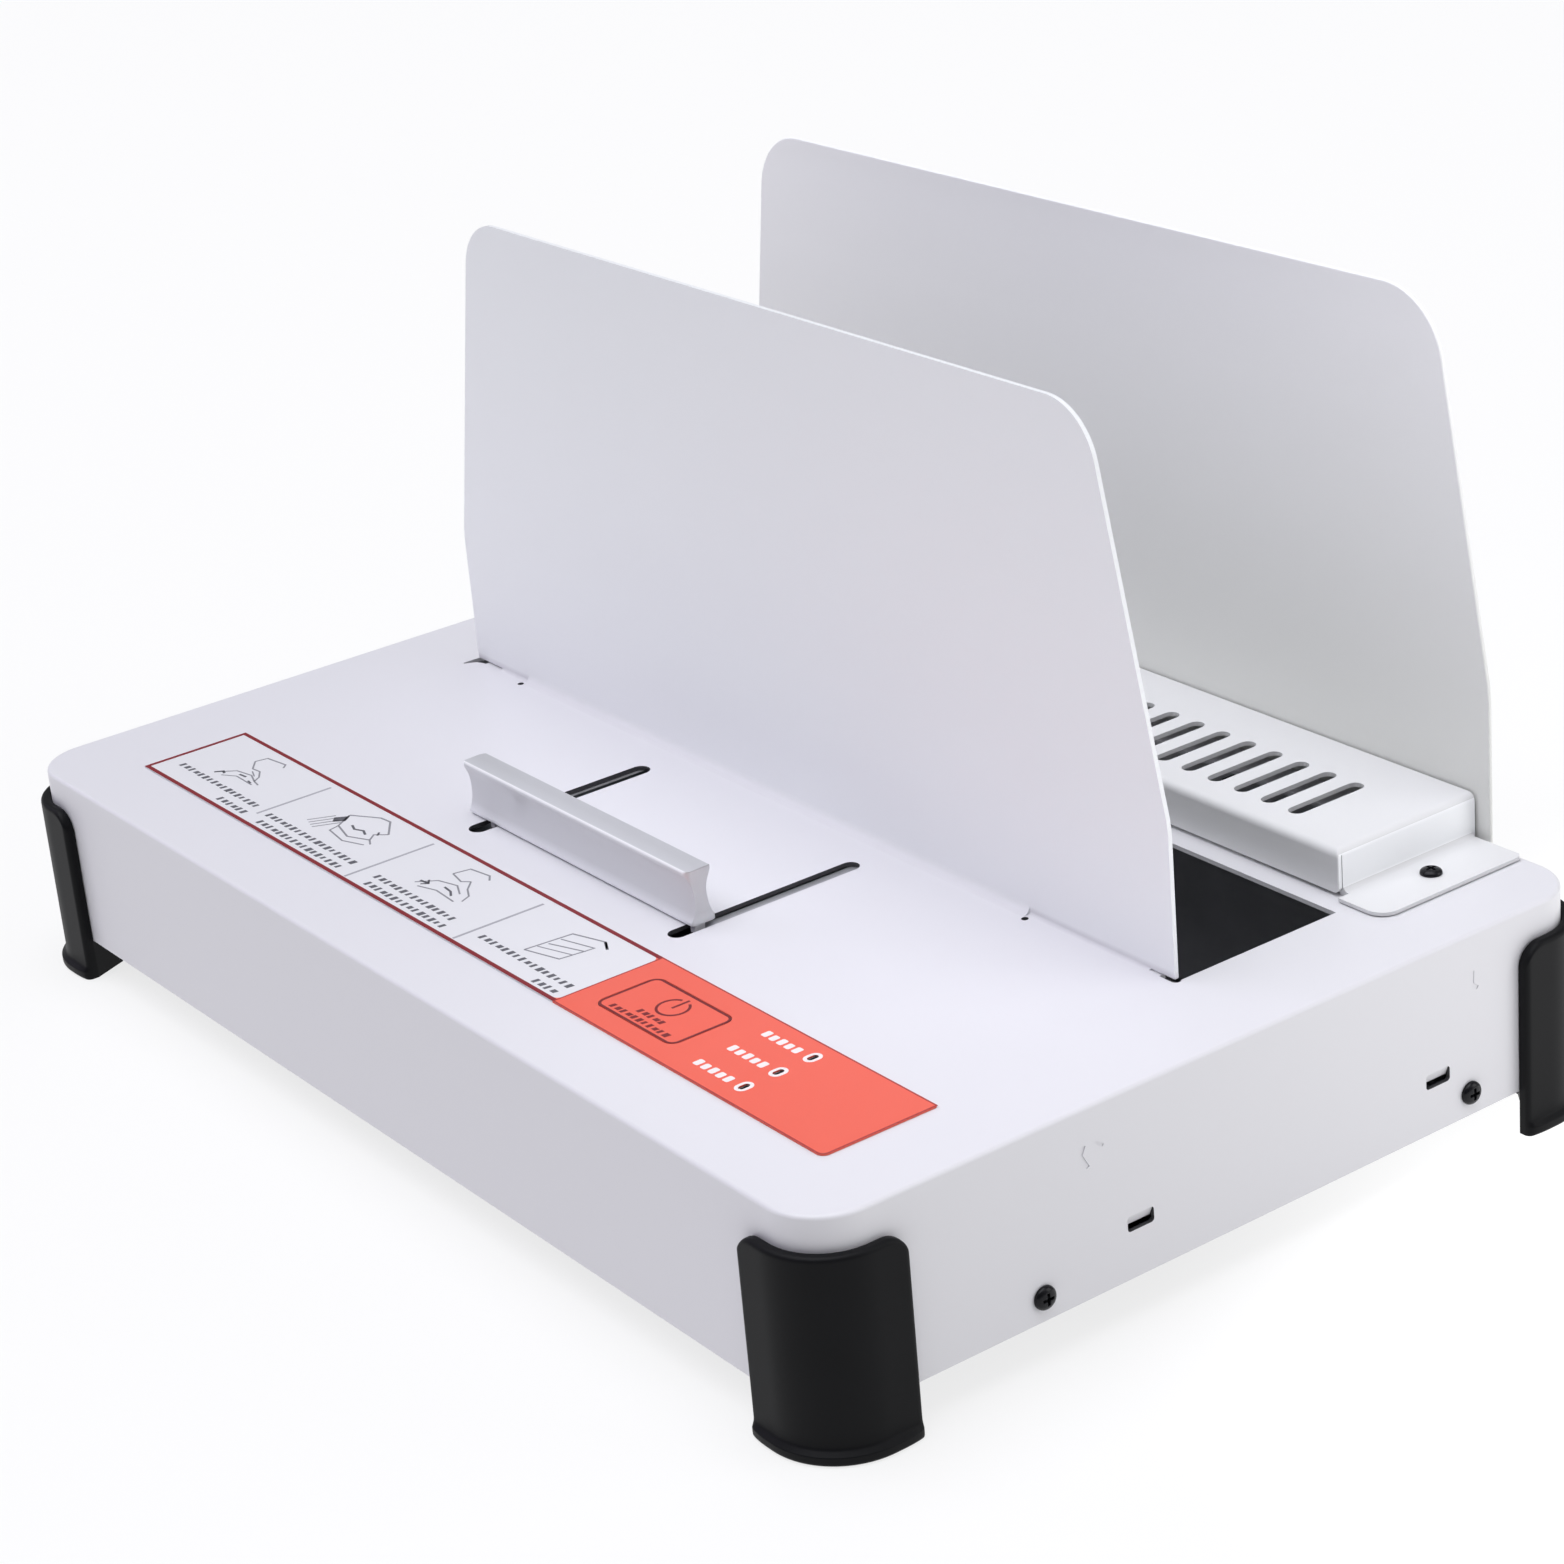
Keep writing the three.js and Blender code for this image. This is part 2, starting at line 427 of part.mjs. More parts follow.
// ---------------------------------------------------------------- control overlay, key and lights
{
  const z0 = Z_TOP + 0.05, z1 = Z_TOP + 0.55;
  let o = prismZ(rrect(LABEL.x0, LABEL.x1, LABEL.y0, LABEL.y1, 1.2, 3), z0, z1);
  o = o.subtract(prismZ(rrect(KEY.x0 - 0.3, KEY.x1 + 0.3, KEY.y0 - 0.3, KEY.y1 + 0.3, 3.3, 5), z0 - 1, z1 + 1));
  for (const y of LED_Y) o = o.subtract(cyl('z', LED_X, y, 1.9, z0 - 1, z1 + 1, 14));
  add('control_overlay', o, 0xE9E9EE, 0.35, 0.0);

  const cap = union(
    prismZ(rrect(KEY.x0, KEY.x1, KEY.y0, KEY.y1, 3, 5), Z_TOP - 1.4, Z_TOP + 0.55),
    prismZ(rrect(KEY.x0 - 1.4, KEY.x1 + 1.4, KEY.y0 - 1.4, KEY.y1 + 1.4, 4, 3), Z_TOP - 2.5, Z_TOP - 1.35),
    cyl('z', (KEY.x0 + KEY.x1) / 2, (KEY.y0 + KEY.y1) / 2, 3, 54.4, Z_TOP - 2.4, 14));
  add('start_key', cap, 0xFA6E5E, 0.4, 0.0);

  const kx = (KEY.x0 + KEY.x1) / 2, ky = (KEY.y0 + KEY.y1) / 2;
  let board = box(57, 140, -96.5, -66, 49.4, 51);
  for (const [x, y] of [[60, -93.5], [137, -93.5], [60, -69], [137, -69]]) board = board.add(cyl('z', x, y, 2.2, 50.8, Z_TOP - SHEET - 0.1, 10));
  add('control_board', board, PCB, 0.5, 0.0);
  add('key_switch', union(box(kx - 3, kx + 3, ky - 3, ky + 3, 51.1, 53), cyl('z', kx, ky, 1.7, 52.8, 53.5, 12)), 0x26272B, 0.5, 0.0);
  LED_Y.forEach((y, k) => {
    const profile = [V2(0, 51.1), V2(1.9, 51.1), V2(1.9, 52.1), V2(1.5, 52.1), V2(1.5, 59.4)];
    for (let i = 1; i < 4; i++) { const a = (i * 30 * Math.PI) / 180; profile.push(V2(1.5 * Math.cos(a), 59.4 + 1.4 * Math.sin(a))); }
    profile.push(V2(0, 60.8));
    const g = new THREE.LatheGeometry(profile, 12);
    g.rotateX(Math.PI / 2);
    g.translate(LED_X, y, 0);
    add(`led_${k + 1}`, solid(g), 0x2A2A2E, 0.2, 0.0);
  });
}

// ---------------------------------------------------------------- handle, carriage, clamp, rods
{
  const p = [[-50.4, 61.0], [-50.4, 61.7], [-49.7, 63.2], [-49.2, 65.2], [-49.05, 67.6], [-49.2, 70.0], [-49.7, 72.2],
    [-50.5, 74.0], [-51.0, 74.8], [-51.0, 75.5], [-50.5, 76.0], [-44.0, 76.2], [-43.5, 75.8], [-43.5, 75.0], [-44.2, 73.8],
    [-44.9, 72.2], [-45.3, 70.2], [-45.2, 67.6], [-44.7, 65.2], [-43.9, 63.2], [-42.7, 61.7], [-42.7, 61.0]];
  add('pull_handle', prismX(p.slice().reverse(), HANDLE_X[0], HANDLE_X[1]), HANDLE, 0.35, 0.3);

  let c = box(-52, 50, -88, 12.4, 50, 52);
  c = c.subtract(prismZ(rrect(-28, 28, -50, -4, 5, 3), 48, 54));
  for (const s of [-1, 1]) {
    c = c.add(box(SLOT_X[s] - 0.9, SLOT_X[s] + 0.9, -49.8, -46.6, 51.8, 60.9));   // tab up to the handle
  }
  // guide ribs under the slots, starting below the handle, the right one wider
  c = c.add(box(-50.7, -49.5, -48, 2, 51.8, Z_TOP - SHEET - 0.2));
  c = c.add(box(42.9, 46.6, -48, 4.5, 51.8, Z_TOP - SHEET - 0.2));
  for (const s of [-1, 1]) {
    c = c.add(box(s * ROD_X - 9, s * ROD_X + 9, -87, -55, ROD_Z - 8, 50.4));
  }
  c = c.add(box(-150, 150, CLAMP_Y, CLAMP_Y + 1.6, 22.4, 58.4));
  for (const s of [-1, 1]) c = c.subtract(cyl('y', s * ROD_X, ROD_Z, ROD_R + 0.06, -90, -50, 20));
  add('carriage', c, STEEL, 0.4, 0.8);
  add('clamp_pad', prismY(rrect(-147, 147, 24, 54, 2, 3), CLAMP_Y + 1.7, CLAMP_Y + 2.8), 0x3A3C40, 0.8, 0.0);

  for (const [n, s] of [['left', -1], ['right', 1]]) {
    add(`guide_rod_${n}`, cyl('y', s * ROD_X, ROD_Z, ROD_R, ROD_Y[0], ROD_Y[1], 20), 0xD0D2D6, 0.2, 1.0);
    for (const [m, ya, yb] of [['front', -104, -92], ['rear', -2, 9]]) {
      const x = s * ROD_X;
      const b = prismY([[x - 14, 13], [x + 14, 13], [x + 14, 17], [x + 8, 20], [x + 8, 47.2], [x + 6.5, 48.4], [x - 6.5, 48.4], [x - 8, 47.2], [x - 8, 20], [x - 14, 17]], ya, yb)
        .subtract(cyl('y', x, ROD_Z, ROD_R + 0.04, ya - 1, yb + 1, 20));
      add(`rod_block_${m}_${n}`, b, 0x2B2C30, 0.6, 0.0);
    }
  }
}

// ---------------------------------------------------------------- trough and heater
{
  let t = box(-157.2, 157.2, 10.4, 67.2, 13, 14.2);
  t = t.add(box(-157.2, 157.2, 66, 67.2, 13, 58.9));
  t = t.add(box(-157.2, -156, 10.4, 67.2, 13, 58.9)).add(box(156, 157.2, 10.4, 67.2, 13, 58.9));
  t = t.subtract(box(-6, 6, 64, 70, 21.6, 37));
  add('trough_frame', t, ZINC, 0.45, 0.8);
  add('insulation_pad', box(-150, 150, 17, 63.8, 14.4, 15.9), 0xDAD6C8, 0.9, 0.0);
  add('heater_strip', box(-146, 146, 20, 61, 16.0, 16.9), 0xB8602C, 0.7, 0.0);
  let hp = box(-151, 151, 16, 64.8, 17.0, 21.0);
  for (let k = 0; k < 5; k++) hp = hp.subtract(box(-152, 152, 20.8 + k * 9.4, 22.6 + k * 9.4, 20.2, 22));
  add('heating_plate', hp, ALU, 0.35, 0.95);
  add('thermal_cutout', union(cyl('y', -118, 30, 8, 67.4, 73.2, 18), box(-120.5, -115.5, 73, 76.2, 26, 34)), 0x2A2A2C, 0.5, 0.2);

  // document sensor: a small lever through the window in the trough's rear wall
  const ax = { y: 74.2, z: 31 };
  let lever = union(
    cyl('x', ax.y, ax.z, 3.4, -3, 3, 18),
    prismX([[63, 29.4], [74.2, 28.6], [74.2, 33.4], [63, 32.0], [61.8, 30.7]], -2.4, 2.4));
  lever = lever.subtract(cyl('x', ax.y, ax.z, 1.06, -5, 5, 14));
  add('sensor_lever', lever, 0xD9D9D2, 0.5, 0.0);
  let holder = union(
    box(-7, -4.2, 69.2, 82.2, 24, 36), box(4.2, 7, 69.2, 82.2, 24, 36), box(-7, 7, 79.6, 90.2, 13, 36),
    cyl('x', ax.y, ax.z, 1.0, -5, 5, 14));
  add('sensor_switch', holder, 0x25262A, 0.5, 0.0);
}

// ---------------------------------------------------------------- electrics
{
  let b = box(72, 172, -50, 8, 18, 19.6);
  add('main_board', b, 0x2A6B3C, 0.5, 0.0);
  let tr = union(box(80, 112, -44, -16, 19.7, 42), box(84, 108, -48, -12, 24, 38));
  add('transformer', tr, 0x8E5A3A, 0.5, 0.3);
  add('relay', box(122, 141, -42, -26, 19.7, 35), 0x2B4C86, 0.45, 0.0);
  add('capacitor', cyl('z', 155, -32, 8, 19.7, 45, 20), 0x23252B, 0.4, 0.0);
  add('terminal_block', cut(box(118, 158, -8, 3, 19.7, 31),
    ...[123, 131, 139, 147].map((x) => box(x - 0.5, x + 5, -9, -3, 22, 28))), 0x2E6E46, 0.5, 0.0);

  // mains inlet in the back wall
  const ix = INLET.x, iz = INLET.z, y0 = HD + 0.1;
  let s = prismY(rrect(ix - INLET.w / 2, ix + INLET.w / 2, iz - INLET.h / 2, iz + INLET.h / 2, 1.8, 3), 99, y0 + 0.5);
  s = s.add(prismY(rrect(ix - 24, ix + 24, iz - 11.4, iz + 11.4, 5, 4), y0, y0 + 2.6));
  s = s.subtract(prismY([[ix - 12, iz - 8], [ix + 12, iz - 8], [ix + 12, iz + 4], [ix + 8, iz + 8], [ix - 8, iz + 8], [ix - 12, iz + 4]], 103, y0 + 5));
  for (const [dx, dz] of [[-7, -2], [7, -2], [0, 2]]) s = s.add(box(ix + dx - 1, ix + dx + 1, 102, 114, iz + dz - 2, iz + dz + 2));
  for (const dx of [-7, 0, 7]) s = s.add(box(ix + dx - 0.6, ix + dx + 0.6, 93, 99.5, iz - 2.4, iz + 2.4));
  add('inlet_socket', s, 0x17181A, 0.45, 0.0);

  // rocker switch in the back wall
  const rx = SWITCH.x, rz = SWITCH.z;
  let rb = prismY(rrect(rx - SWITCH.w / 2, rx + SWITCH.w / 2, rz - SWITCH.h / 2, rz + SWITCH.h / 2, 0.8, 2), 104, y0 + 0.5);
  rb = rb.add(prismY(rrect(rx - 10.8, rx + 10.8, rz - 7.6, rz + 7.6, 1.5, 3), y0, y0 + 1.8));
  rb = rb.subtract(box(rx - 7.4, rx + 7.4, 108, 125, rz - 4.6, rz + 4.6));
  for (const dx of [-5, 5]) rb = rb.add(box(rx + dx - 2.3, rx + dx + 2.3, 98, 104.5, rz - 0.4, rz + 0.4));
  rb = rb.add(cyl('z', rx, 117.2, 0.9, rz - 5, rz + 5, 12));
  add('rocker_body', rb, 0x17181A, 0.45, 0.0);
  // rocker, tilted about the vertical pin
  const prof = [];
  for (const [u, v] of [[-6.6, 0.2], [-6.9, 3.4], [0, 2.2], [6.9, 3.4], [6.6, 0.2], [3, -3.4], [-3, -3.4]]) prof.push([u, v]);
  const t = (-9 * Math.PI) / 180;
  const pts = prof.map(([u, v]) => [rx + u * Math.cos(t) - v * Math.sin(t), 117.2 + u * Math.sin(t) + v * Math.cos(t)]);
  const rk = prismZ(pts.slice().reverse(), rz - 4.3, rz + 4.3).subtract(cyl('z', rx, 117.2, 0.96, rz - 6, rz + 6, 12));
  add('rocker', rk, 0x2A2B2E, 0.35, 0.0);
}

export default model;
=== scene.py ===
import math
import bpy
import bmesh
from mathutils import Matrix, Vector


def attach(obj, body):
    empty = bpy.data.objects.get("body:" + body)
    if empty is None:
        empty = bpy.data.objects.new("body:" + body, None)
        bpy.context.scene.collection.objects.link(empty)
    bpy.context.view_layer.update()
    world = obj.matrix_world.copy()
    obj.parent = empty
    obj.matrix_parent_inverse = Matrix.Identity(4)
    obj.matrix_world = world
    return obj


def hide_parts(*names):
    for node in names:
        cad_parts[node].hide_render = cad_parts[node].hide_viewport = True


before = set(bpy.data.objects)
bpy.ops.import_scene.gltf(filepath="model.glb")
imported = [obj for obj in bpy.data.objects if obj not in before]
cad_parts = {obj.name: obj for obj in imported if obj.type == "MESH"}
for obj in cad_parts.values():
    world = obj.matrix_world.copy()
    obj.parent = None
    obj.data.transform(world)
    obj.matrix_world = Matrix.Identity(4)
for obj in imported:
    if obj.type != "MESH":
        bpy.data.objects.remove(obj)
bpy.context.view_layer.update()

MM = 0.001
BODY = "case_body"

# ------------------------------------------------------------------ dimensions (mm)
HL, HD = 186.0, 119.5
Z_BOT, Z_TOP, T = 11.5, 60.4, 1.2
R_PLAN, R_EDGE = 15.0, 1.1
GUIDE_Y, GUIDE_HALF, GUIDE_KINK, GUIDE_TOPH, GUIDE_TOP, GUIDE_R = 13.4, 154.1, 100.1, 131.6, 198.6, 17.0
BEND_X0, BEND_X1, BEND_R = -127.6, 101.8, 2.5
FOLD_X0, FOLD_X1, FOLD_R = -141.0, 145.5, 0.9
REAR_Y, REAR_HALF, REAR_KINK, REAR_TOPH, REAR_TOP, REAR_LOW, REAR_R = 119.9, 153.6, 101.2, 136.3, 200.7, 43.0, 20.0
TROUGH_X, TROUGH_Y0, TROUGH_Y1 = 154.5, 14.6, 65.6
HOUSE_HALF, HOUSE_Y0, HOUSE_Y1, HOUSE_TOP, FLANGE_X, FLANGE_Y = 149.0, 71.8, 119.3, 73.0, 166.2, 69.8
VENT_N, VENT_PITCH, VENT_W, VENT_Y0, VENT_Y1 = 26, 9.92, 4.6, 80.0, 104.6
SLOT_X, SLOT_W, SLOT_Y0, SLOT_Y1 = {-1: -47.8, 1: 45.2}, {-1: 5.8, 1: 5.2}, -56.9, {-1: 1.2, 1: 2.4}
HANDLE_X0, HANDLE_X1 = -58.0, 46.3
LX0, LXM, LX1, LY0, LY1 = -155.8, 54.6, 162.6, -98.0, -65.3
KX0, KX1, KY0, KY1 = 62.7, 94.9, -91.2, -72.4
LED_X, LED_Y = 123.8, (-71.3, -81.2, -91.0)
SIDE_SCREW = ((-57.2, 17.8), (78.5, 17.8))
SIDE_SLOT = ((-27.7, 25.8), (67.7, 25.8))
FLANGE_SCREW = (157.3, 95.3)
REAR_SCREW_X, REAR_SCREW_Z = (-132, -62, 62, 132), 51.5
INLET = (122.0, 27.5, 27.4, 19.6)
SWITCH = (78.0, 27.5, 19.2, 12.9)
FOOT_LEN, FOOT_TOP, FOOT_EAR = 24.2, 51.8, 6.0
FOOT_SCREW = (178.0, 111.5)
FOOT_ROUND, FOOT_RUN = 1.2, 7.0

# ------------------------------------------------------------------ materials


def _tree(name):
    m = bpy.data.materials.new(name)
    m.use_nodes = True
    nt = m.node_tree
    b = nt.nodes["Principled BSDF"]
    return m, nt, b


def _noise(nt, vec, scale, detail=3.0, rough=0.5):
    n = nt.nodes.new("ShaderNodeTexNoise")
    n.inputs["Scale"].default_value = scale
    n.inputs["Detail"].default_value = detail
    n.inputs["Roughness"].default_value = rough
    nt.links.new(vec, n.inputs["Vector"])
    return n


def surface(name, base, rough, metal=0.0, spec=0.5, vary=0.04, vary_scale=18.0, rough_vary=0.05,
            grain=900.0, bump=0.12, bump_dist=0.00006, stretch=None, coat=0.0, coat_rough=0.2, second=None):
    """A painted, moulded or metal surface: colour that drifts a little over the piece, a fine grain in
    roughness and bump. stretch lengthens the grain along one axis, as brushing or rolling does."""
    m, nt, b = _tree(name)
    tc = nt.nodes.new("ShaderNodeTexCoord")
    vec = tc.outputs["Object"]
    big = _noise(nt, vec, vary_scale, 4.0, 0.55)
    mp = nt.nodes.new("ShaderNodeMapping")
    if stretch:
        mp.inputs["Scale"].default_value = stretch
    nt.links.new(vec, mp.inputs["Vector"])
    fine = _noise(nt, mp.outputs["Vector"], grain, 2.0, 0.6)
    mix = nt.nodes.new("ShaderNodeMix")
    mix.data_type = "RGBA"
    lo = [max(0.0, c * (1 - vary)) for c in base]
    hi = [min(1.0, c * (1 + vary)) for c in base]
    if second:
        hi = second
    mix.inputs[6].default_value = (*lo, 1)
    mix.inputs[7].default_value = (*hi, 1)
    nt.links.new(big.outputs["Fac"], mix.inputs[0])
    nt.links.new(mix.outputs[2], b.inputs["Base Color"])
    rr = nt.nodes.new("ShaderNodeMapRange")
    rr.inputs["To Min"].default_value = max(0.02, rough - rough_vary)
    rr.inputs["To Max"].default_value = min(1.0, rough + rough_vary)
    nt.links.new(fine.outputs["Fac"], rr.inputs["Value"])
    nt.links.new(rr.outputs["Result"], b.inputs["Roughness"])
    bp = nt.nodes.new("ShaderNodeBump")
    bp.inputs["Strength"].default_value = bump
    bp.inputs["Distance"].default_value = bump_dist
    nt.links.new(fine.outputs["Fac"], bp.inputs["Height"])
    nt.links.new(bp.outputs["Normal"], b.inputs["Normal"])
    b.inputs["Metallic"].default_value = metal
    b.inputs["Specular IOR Level"].default_value = spec
    b.inputs["Coat Weight"].default_value = coat
    b.inputs["Coat Roughness"].default_value = coat_rough
    return m


M = {}
M["paint"] = surface("powder_coat_white", (0.700, 0.696, 0.725), 0.38, spec=0.45, vary=0.012, vary_scale=9.0,
                     grain=1500.0, bump=0.10, bump_dist=0.00004)
M["paint_house"] = surface("powder_coat_housing", (0.718, 0.720, 0.728), 0.38, spec=0.45, vary=0.012, vary_scale=9.0,
                           grain=1500.0, bump=0.10, bump_dist=0.00004)
# lighter copy of the white powder coat: painted light, for faces that should catch more light (the front plate with its
# fold, and the end walls of the rear housing)
M["paint_plate"] = surface("powder_coat_lit_copy", (0.945, 0.958, 0.972), 0.42, spec=0.40, vary=0.015, vary_scale=7.0,
                           grain=1500.0, bump=0.10, bump_dist=0.00004)
# lighter copy of the white powder coat for the rear plate: painted light, making up for the light the front plate keeps
# from it
M["paint_rear_lit"] = surface("powder_coat_rear_lit_copy", (0.985, 0.985, 0.995), 0.42, spec=0.40, vary=0.015, vary_scale=7.0,
                          grain=1500.0, bump=0.10, bump_dist=0.00004)


def shade_down(m, z0, z1, factor):
    """Painted shade: multiply the colour by factor at height z0, fading to no change at z1 (metres)."""
    nt = m.node_tree
    b = nt.nodes["Principled BSDF"]
    src = b.inputs["Base Color"].links[0].from_socket
    tc = nt.nodes.new("ShaderNodeTexCoord")
    sep = nt.nodes.new("ShaderNodeSeparateXYZ")
    nt.links.new(tc.outputs["Object"], sep.inputs[0])
    mr = nt.nodes.new("ShaderNodeMapRange")
    mr.inputs["From Min"].default_value = z0
    mr.inputs["From Max"].default_value = z1
    nt.links.new(sep.outputs["Z"], mr.inputs["Value"])
    mix = nt.nodes.new("ShaderNodeMix")
    mix.data_type = "RGBA"
    mix.blend_type = "MULTIPLY"
    inv = nt.nodes.new("ShaderNodeMath")
    inv.operation = "SUBTRACT"
    inv.inputs[0].default_value = 1.0
    nt.links.new(mr.outputs["Result"], inv.inputs[1])
    nt.links.new(inv.outputs["Value"], mix.inputs[0])
    nt.links.new(src, mix.inputs[6])
    mix.inputs[7].default_value = (*factor, 1)
    nt.links.new(mix.outputs[2], b.inputs["Base Color"])


def painted_highlight_line(m, y, z, r0, r1, colour):
    """Painted highlight: a lighter line along an edge that runs in x through y, z (metres)."""
    nt = m.node_tree
    b = nt.nodes["Principled BSDF"]
    src = b.inputs["Base Color"].links[0].from_socket
    tc = nt.nodes.new("ShaderNodeTexCoord")
    sep = nt.nodes.new("ShaderNodeSeparateXYZ")
    nt.links.new(tc.outputs["Object"], sep.inputs[0])
    com = nt.nodes.new("ShaderNodeCombineXYZ")
    nt.links.new(sep.outputs["Y"], com.inputs["Y"])
    nt.links.new(sep.outputs["Z"], com.inputs["Z"])
    dist = nt.nodes.new("ShaderNodeVectorMath")
    dist.operation = "DISTANCE"
    nt.links.new(com.outputs["Vector"], dist.inputs[0])
    dist.inputs[1].default_value = (0.0, y, z)
    mr = nt.nodes.new("ShaderNodeMapRange")
    mr.inputs["From Min"].default_value = r0
    mr.inputs["From Max"].default_value = r1
    mr.inputs["To Min"].default_value = 1.0
    mr.inputs["To Max"].default_value = 0.0
    nt.links.new(dist.outputs["Value"], mr.inputs["Value"])
    mix = nt.nodes.new("ShaderNodeMix")
    mix.data_type = "RGBA"
    nt.links.new(mr.outputs["Result"], mix.inputs[0])
    nt.links.new(src, mix.inputs[6])
    mix.inputs[7].default_value = (*colour, 1)
    nt.links.new(mix.outputs[2], b.inputs["Base Color"])


# painted shade: the rear plate darker towards its lower edge
shade_down(M["paint_rear_lit"], 0.075, 0.190, (0.745, 0.75, 0.72))
# painted shade: the front plate darker towards its top
shade_down(M["paint_plate"], 0.200, 0.080, (0.87, 0.875, 0.875))
# painted shade on the fold, which keeps the turn from the top into the front plate from showing a highlight
shade_down(M["paint_plate"], (Z_TOP + 0.15 * BEND_R) / 1000, (Z_TOP + 0.95 * BEND_R) / 1000, (0.760, 0.745, 0.765))
M["foot"] = surface("foot_moulding", (0.0050, 0.0052, 0.0060), 0.46, spec=0.11, vary=0.25, vary_scale=60.0,
                    rough_vary=0.06, grain=2600.0, bump=0.25, bump_dist=0.00005)
M["screw"] = surface("black_oxide", (0.008, 0.008, 0.010), 0.24, metal=0.15, spec=0.22, vary=0.3, vary_scale=400.0,
                     grain=4000.0, bump=0.15, bump_dist=0.00003)
M["zinc_screw"] = surface("zinc_screw", (0.46, 0.47, 0.49), 0.32, metal=1.0, vary=0.1, vary_scale=300.0,
                          grain=3000.0, bump=0.15, bump_dist=0.00003)
M["film_white"] = surface("film_white", (0.705, 0.705, 0.725), 0.38, spec=0.4, vary=0.010, vary_scale=14.0,
                          grain=2200.0, bump=0.05, bump_dist=0.00003)
M["film_red"] = surface("film_coral", (0.780, 0.124, 0.080), 0.42, spec=0.35, vary=0.030, vary_scale=14.0,
                        grain=2200.0, bump=0.06, bump_dist=0.00003)
M["key_red"] = surface("key_coral", (0.780, 0.120, 0.077), 0.42, spec=0.35, vary=0.030, vary_scale=20.0,
                       grain=2200.0, bump=0.08, bump_dist=0.00003)
M["ink_red"] = surface("ink_dark_red", (0.17, 0.014, 0.016), 0.45, spec=0.3, vary=0.08, vary_scale=60.0,
                       grain=2500.0, bump=0.04, bump_dist=0.00002)
M["ink_line"] = surface("ink_maroon", (0.21, 0.012, 0.018), 0.45, spec=0.3, vary=0.10, vary_scale=40.0,
                        grain=2500.0, bump=0.04, bump_dist=0.00002)
M["ink_edge"] = surface("ink_panel_edge", (0.36, 0.035, 0.034), 0.45, spec=0.3, vary=0.08, vary_scale=60.0,
                        grain=2500.0, bump=0.04, bump_dist=0.00002)
# near-black paint for the walls inside the slots and relief holes: painted shade standing in for the shadow in them
M["cut_edge"] = surface("dark_painted_shade_walls", (0.085, 0.085, 0.090), 0.55, metal=0.4, spec=0.4, vary=0.3, vary_scale=300.0,
                        grain=1500.0, bump=0.3, bump_dist=0.00005)
M["ink_grey"] = surface("ink_grey", (0.25, 0.25, 0.27), 0.5, spec=0.3, vary=0.15, vary_scale=120.0,
                        grain=2500.0, bump=0.04, bump_dist=0.00002)
M["ink_pale"] = surface("ink_pale_grey", (0.37, 0.37, 0.40), 0.5, spec=0.3, vary=0.10, vary_scale=120.0,
                        grain=2500.0, bump=0.04, bump_dist=0.00002)
M["ink_dark"] = surface("ink_dark", (0.105, 0.105, 0.120), 0.5, spec=0.3, vary=0.15, vary_scale=120.0,
                        grain=2500.0, bump=0.04, bump_dist=0.00002)
M["ink_white"] = surface("ink_white", (0.82, 0.76, 0.75), 0.45, spec=0.3, vary=0.02, vary_scale=120.0,
                         grain=2500.0, bump=0.04, bump_dist=0.00002)
M["lens"] = surface("light_lens", (0.004, 0.004, 0.005), 0.30, spec=0.10, vary=0.2, vary_scale=500.0,
                    grain=3000.0, bump=0.03, bump_dist=0.00002)
M["handle"] = surface("handle_satin", (0.880, 0.890, 0.915), 0.30, metal=0.06, spec=0.45, vary=0.012, vary_scale=12.0,
                      rough_vary=0.03, grain=1400.0, bump=0.04, bump_dist=0.00003, stretch=(0.05, 1, 1))
# handle: the lower flare keeps the lighter base colour, a painted reflection, and the colour above it is darkened; the
# top face is darkened further, painted shade
shade_down(M["handle"], 0.0640, 0.0612, (0.80, 0.80, 0.80))
shade_down(M["handle"], 0.0761, 0.0756, (0.67, 0.67, 0.675))
# painted highlight along the front top edge of the handle
painted_highlight_line(M["handle"], -0.0509, 0.0759, 0.00030, 0.00060, (0.84, 0.845, 0.86))
M["steel"] = surface("zinc_sheet", (0.42, 0.43, 0.45), 0.36, metal=1.0, vary=0.10, vary_scale=70.0, rough_vary=0.10,
                     grain=700.0, bump=0.15, bump_dist=0.00004, stretch=(0.08, 1, 1))
M["base"] = surface("base_sheet", (0.40, 0.41, 0.43), 0.42, metal=1.0, vary=0.12, vary_scale=45.0, rough_vary=0.10,
                    grain=500.0, bump=0.12, bump_dist=0.00004, stretch=(0.1, 1, 1))
M["alu"] = surface("heating_plate_aluminium", (0.15, 0.15, 0.155), 0.42, metal=0.9, vary=0.04, vary_scale=60.0,
                   rough_vary=0.05, grain=1600.0, bump=0.05, bump_dist=0.00002, stretch=(0.15, 1, 1))
M["chrome"] = surface("ground_rod", (0.60, 0.61, 0.63), 0.14, metal=1.0, vary=0.03, vary_scale=90.0, rough_vary=0.05,
                      grain=2500.0, bump=0.06, bump_dist=0.00002, stretch=(1, 0.05, 1))
M["nylon"] = surface("black_nylon", (0.022, 0.022, 0.026), 0.52, spec=0.4, vary=0.3, vary_scale=90.0, grain=1800.0,
                     bump=0.3, bump_dist=0.00006)
M["rubber"] = surface("silicone_pad", (0.038, 0.038, 0.043), 0.78, spec=0.3, vary=0.3, vary_scale=80.0, grain=1200.0,
                      bump=0.5, bump_dist=0.0001)
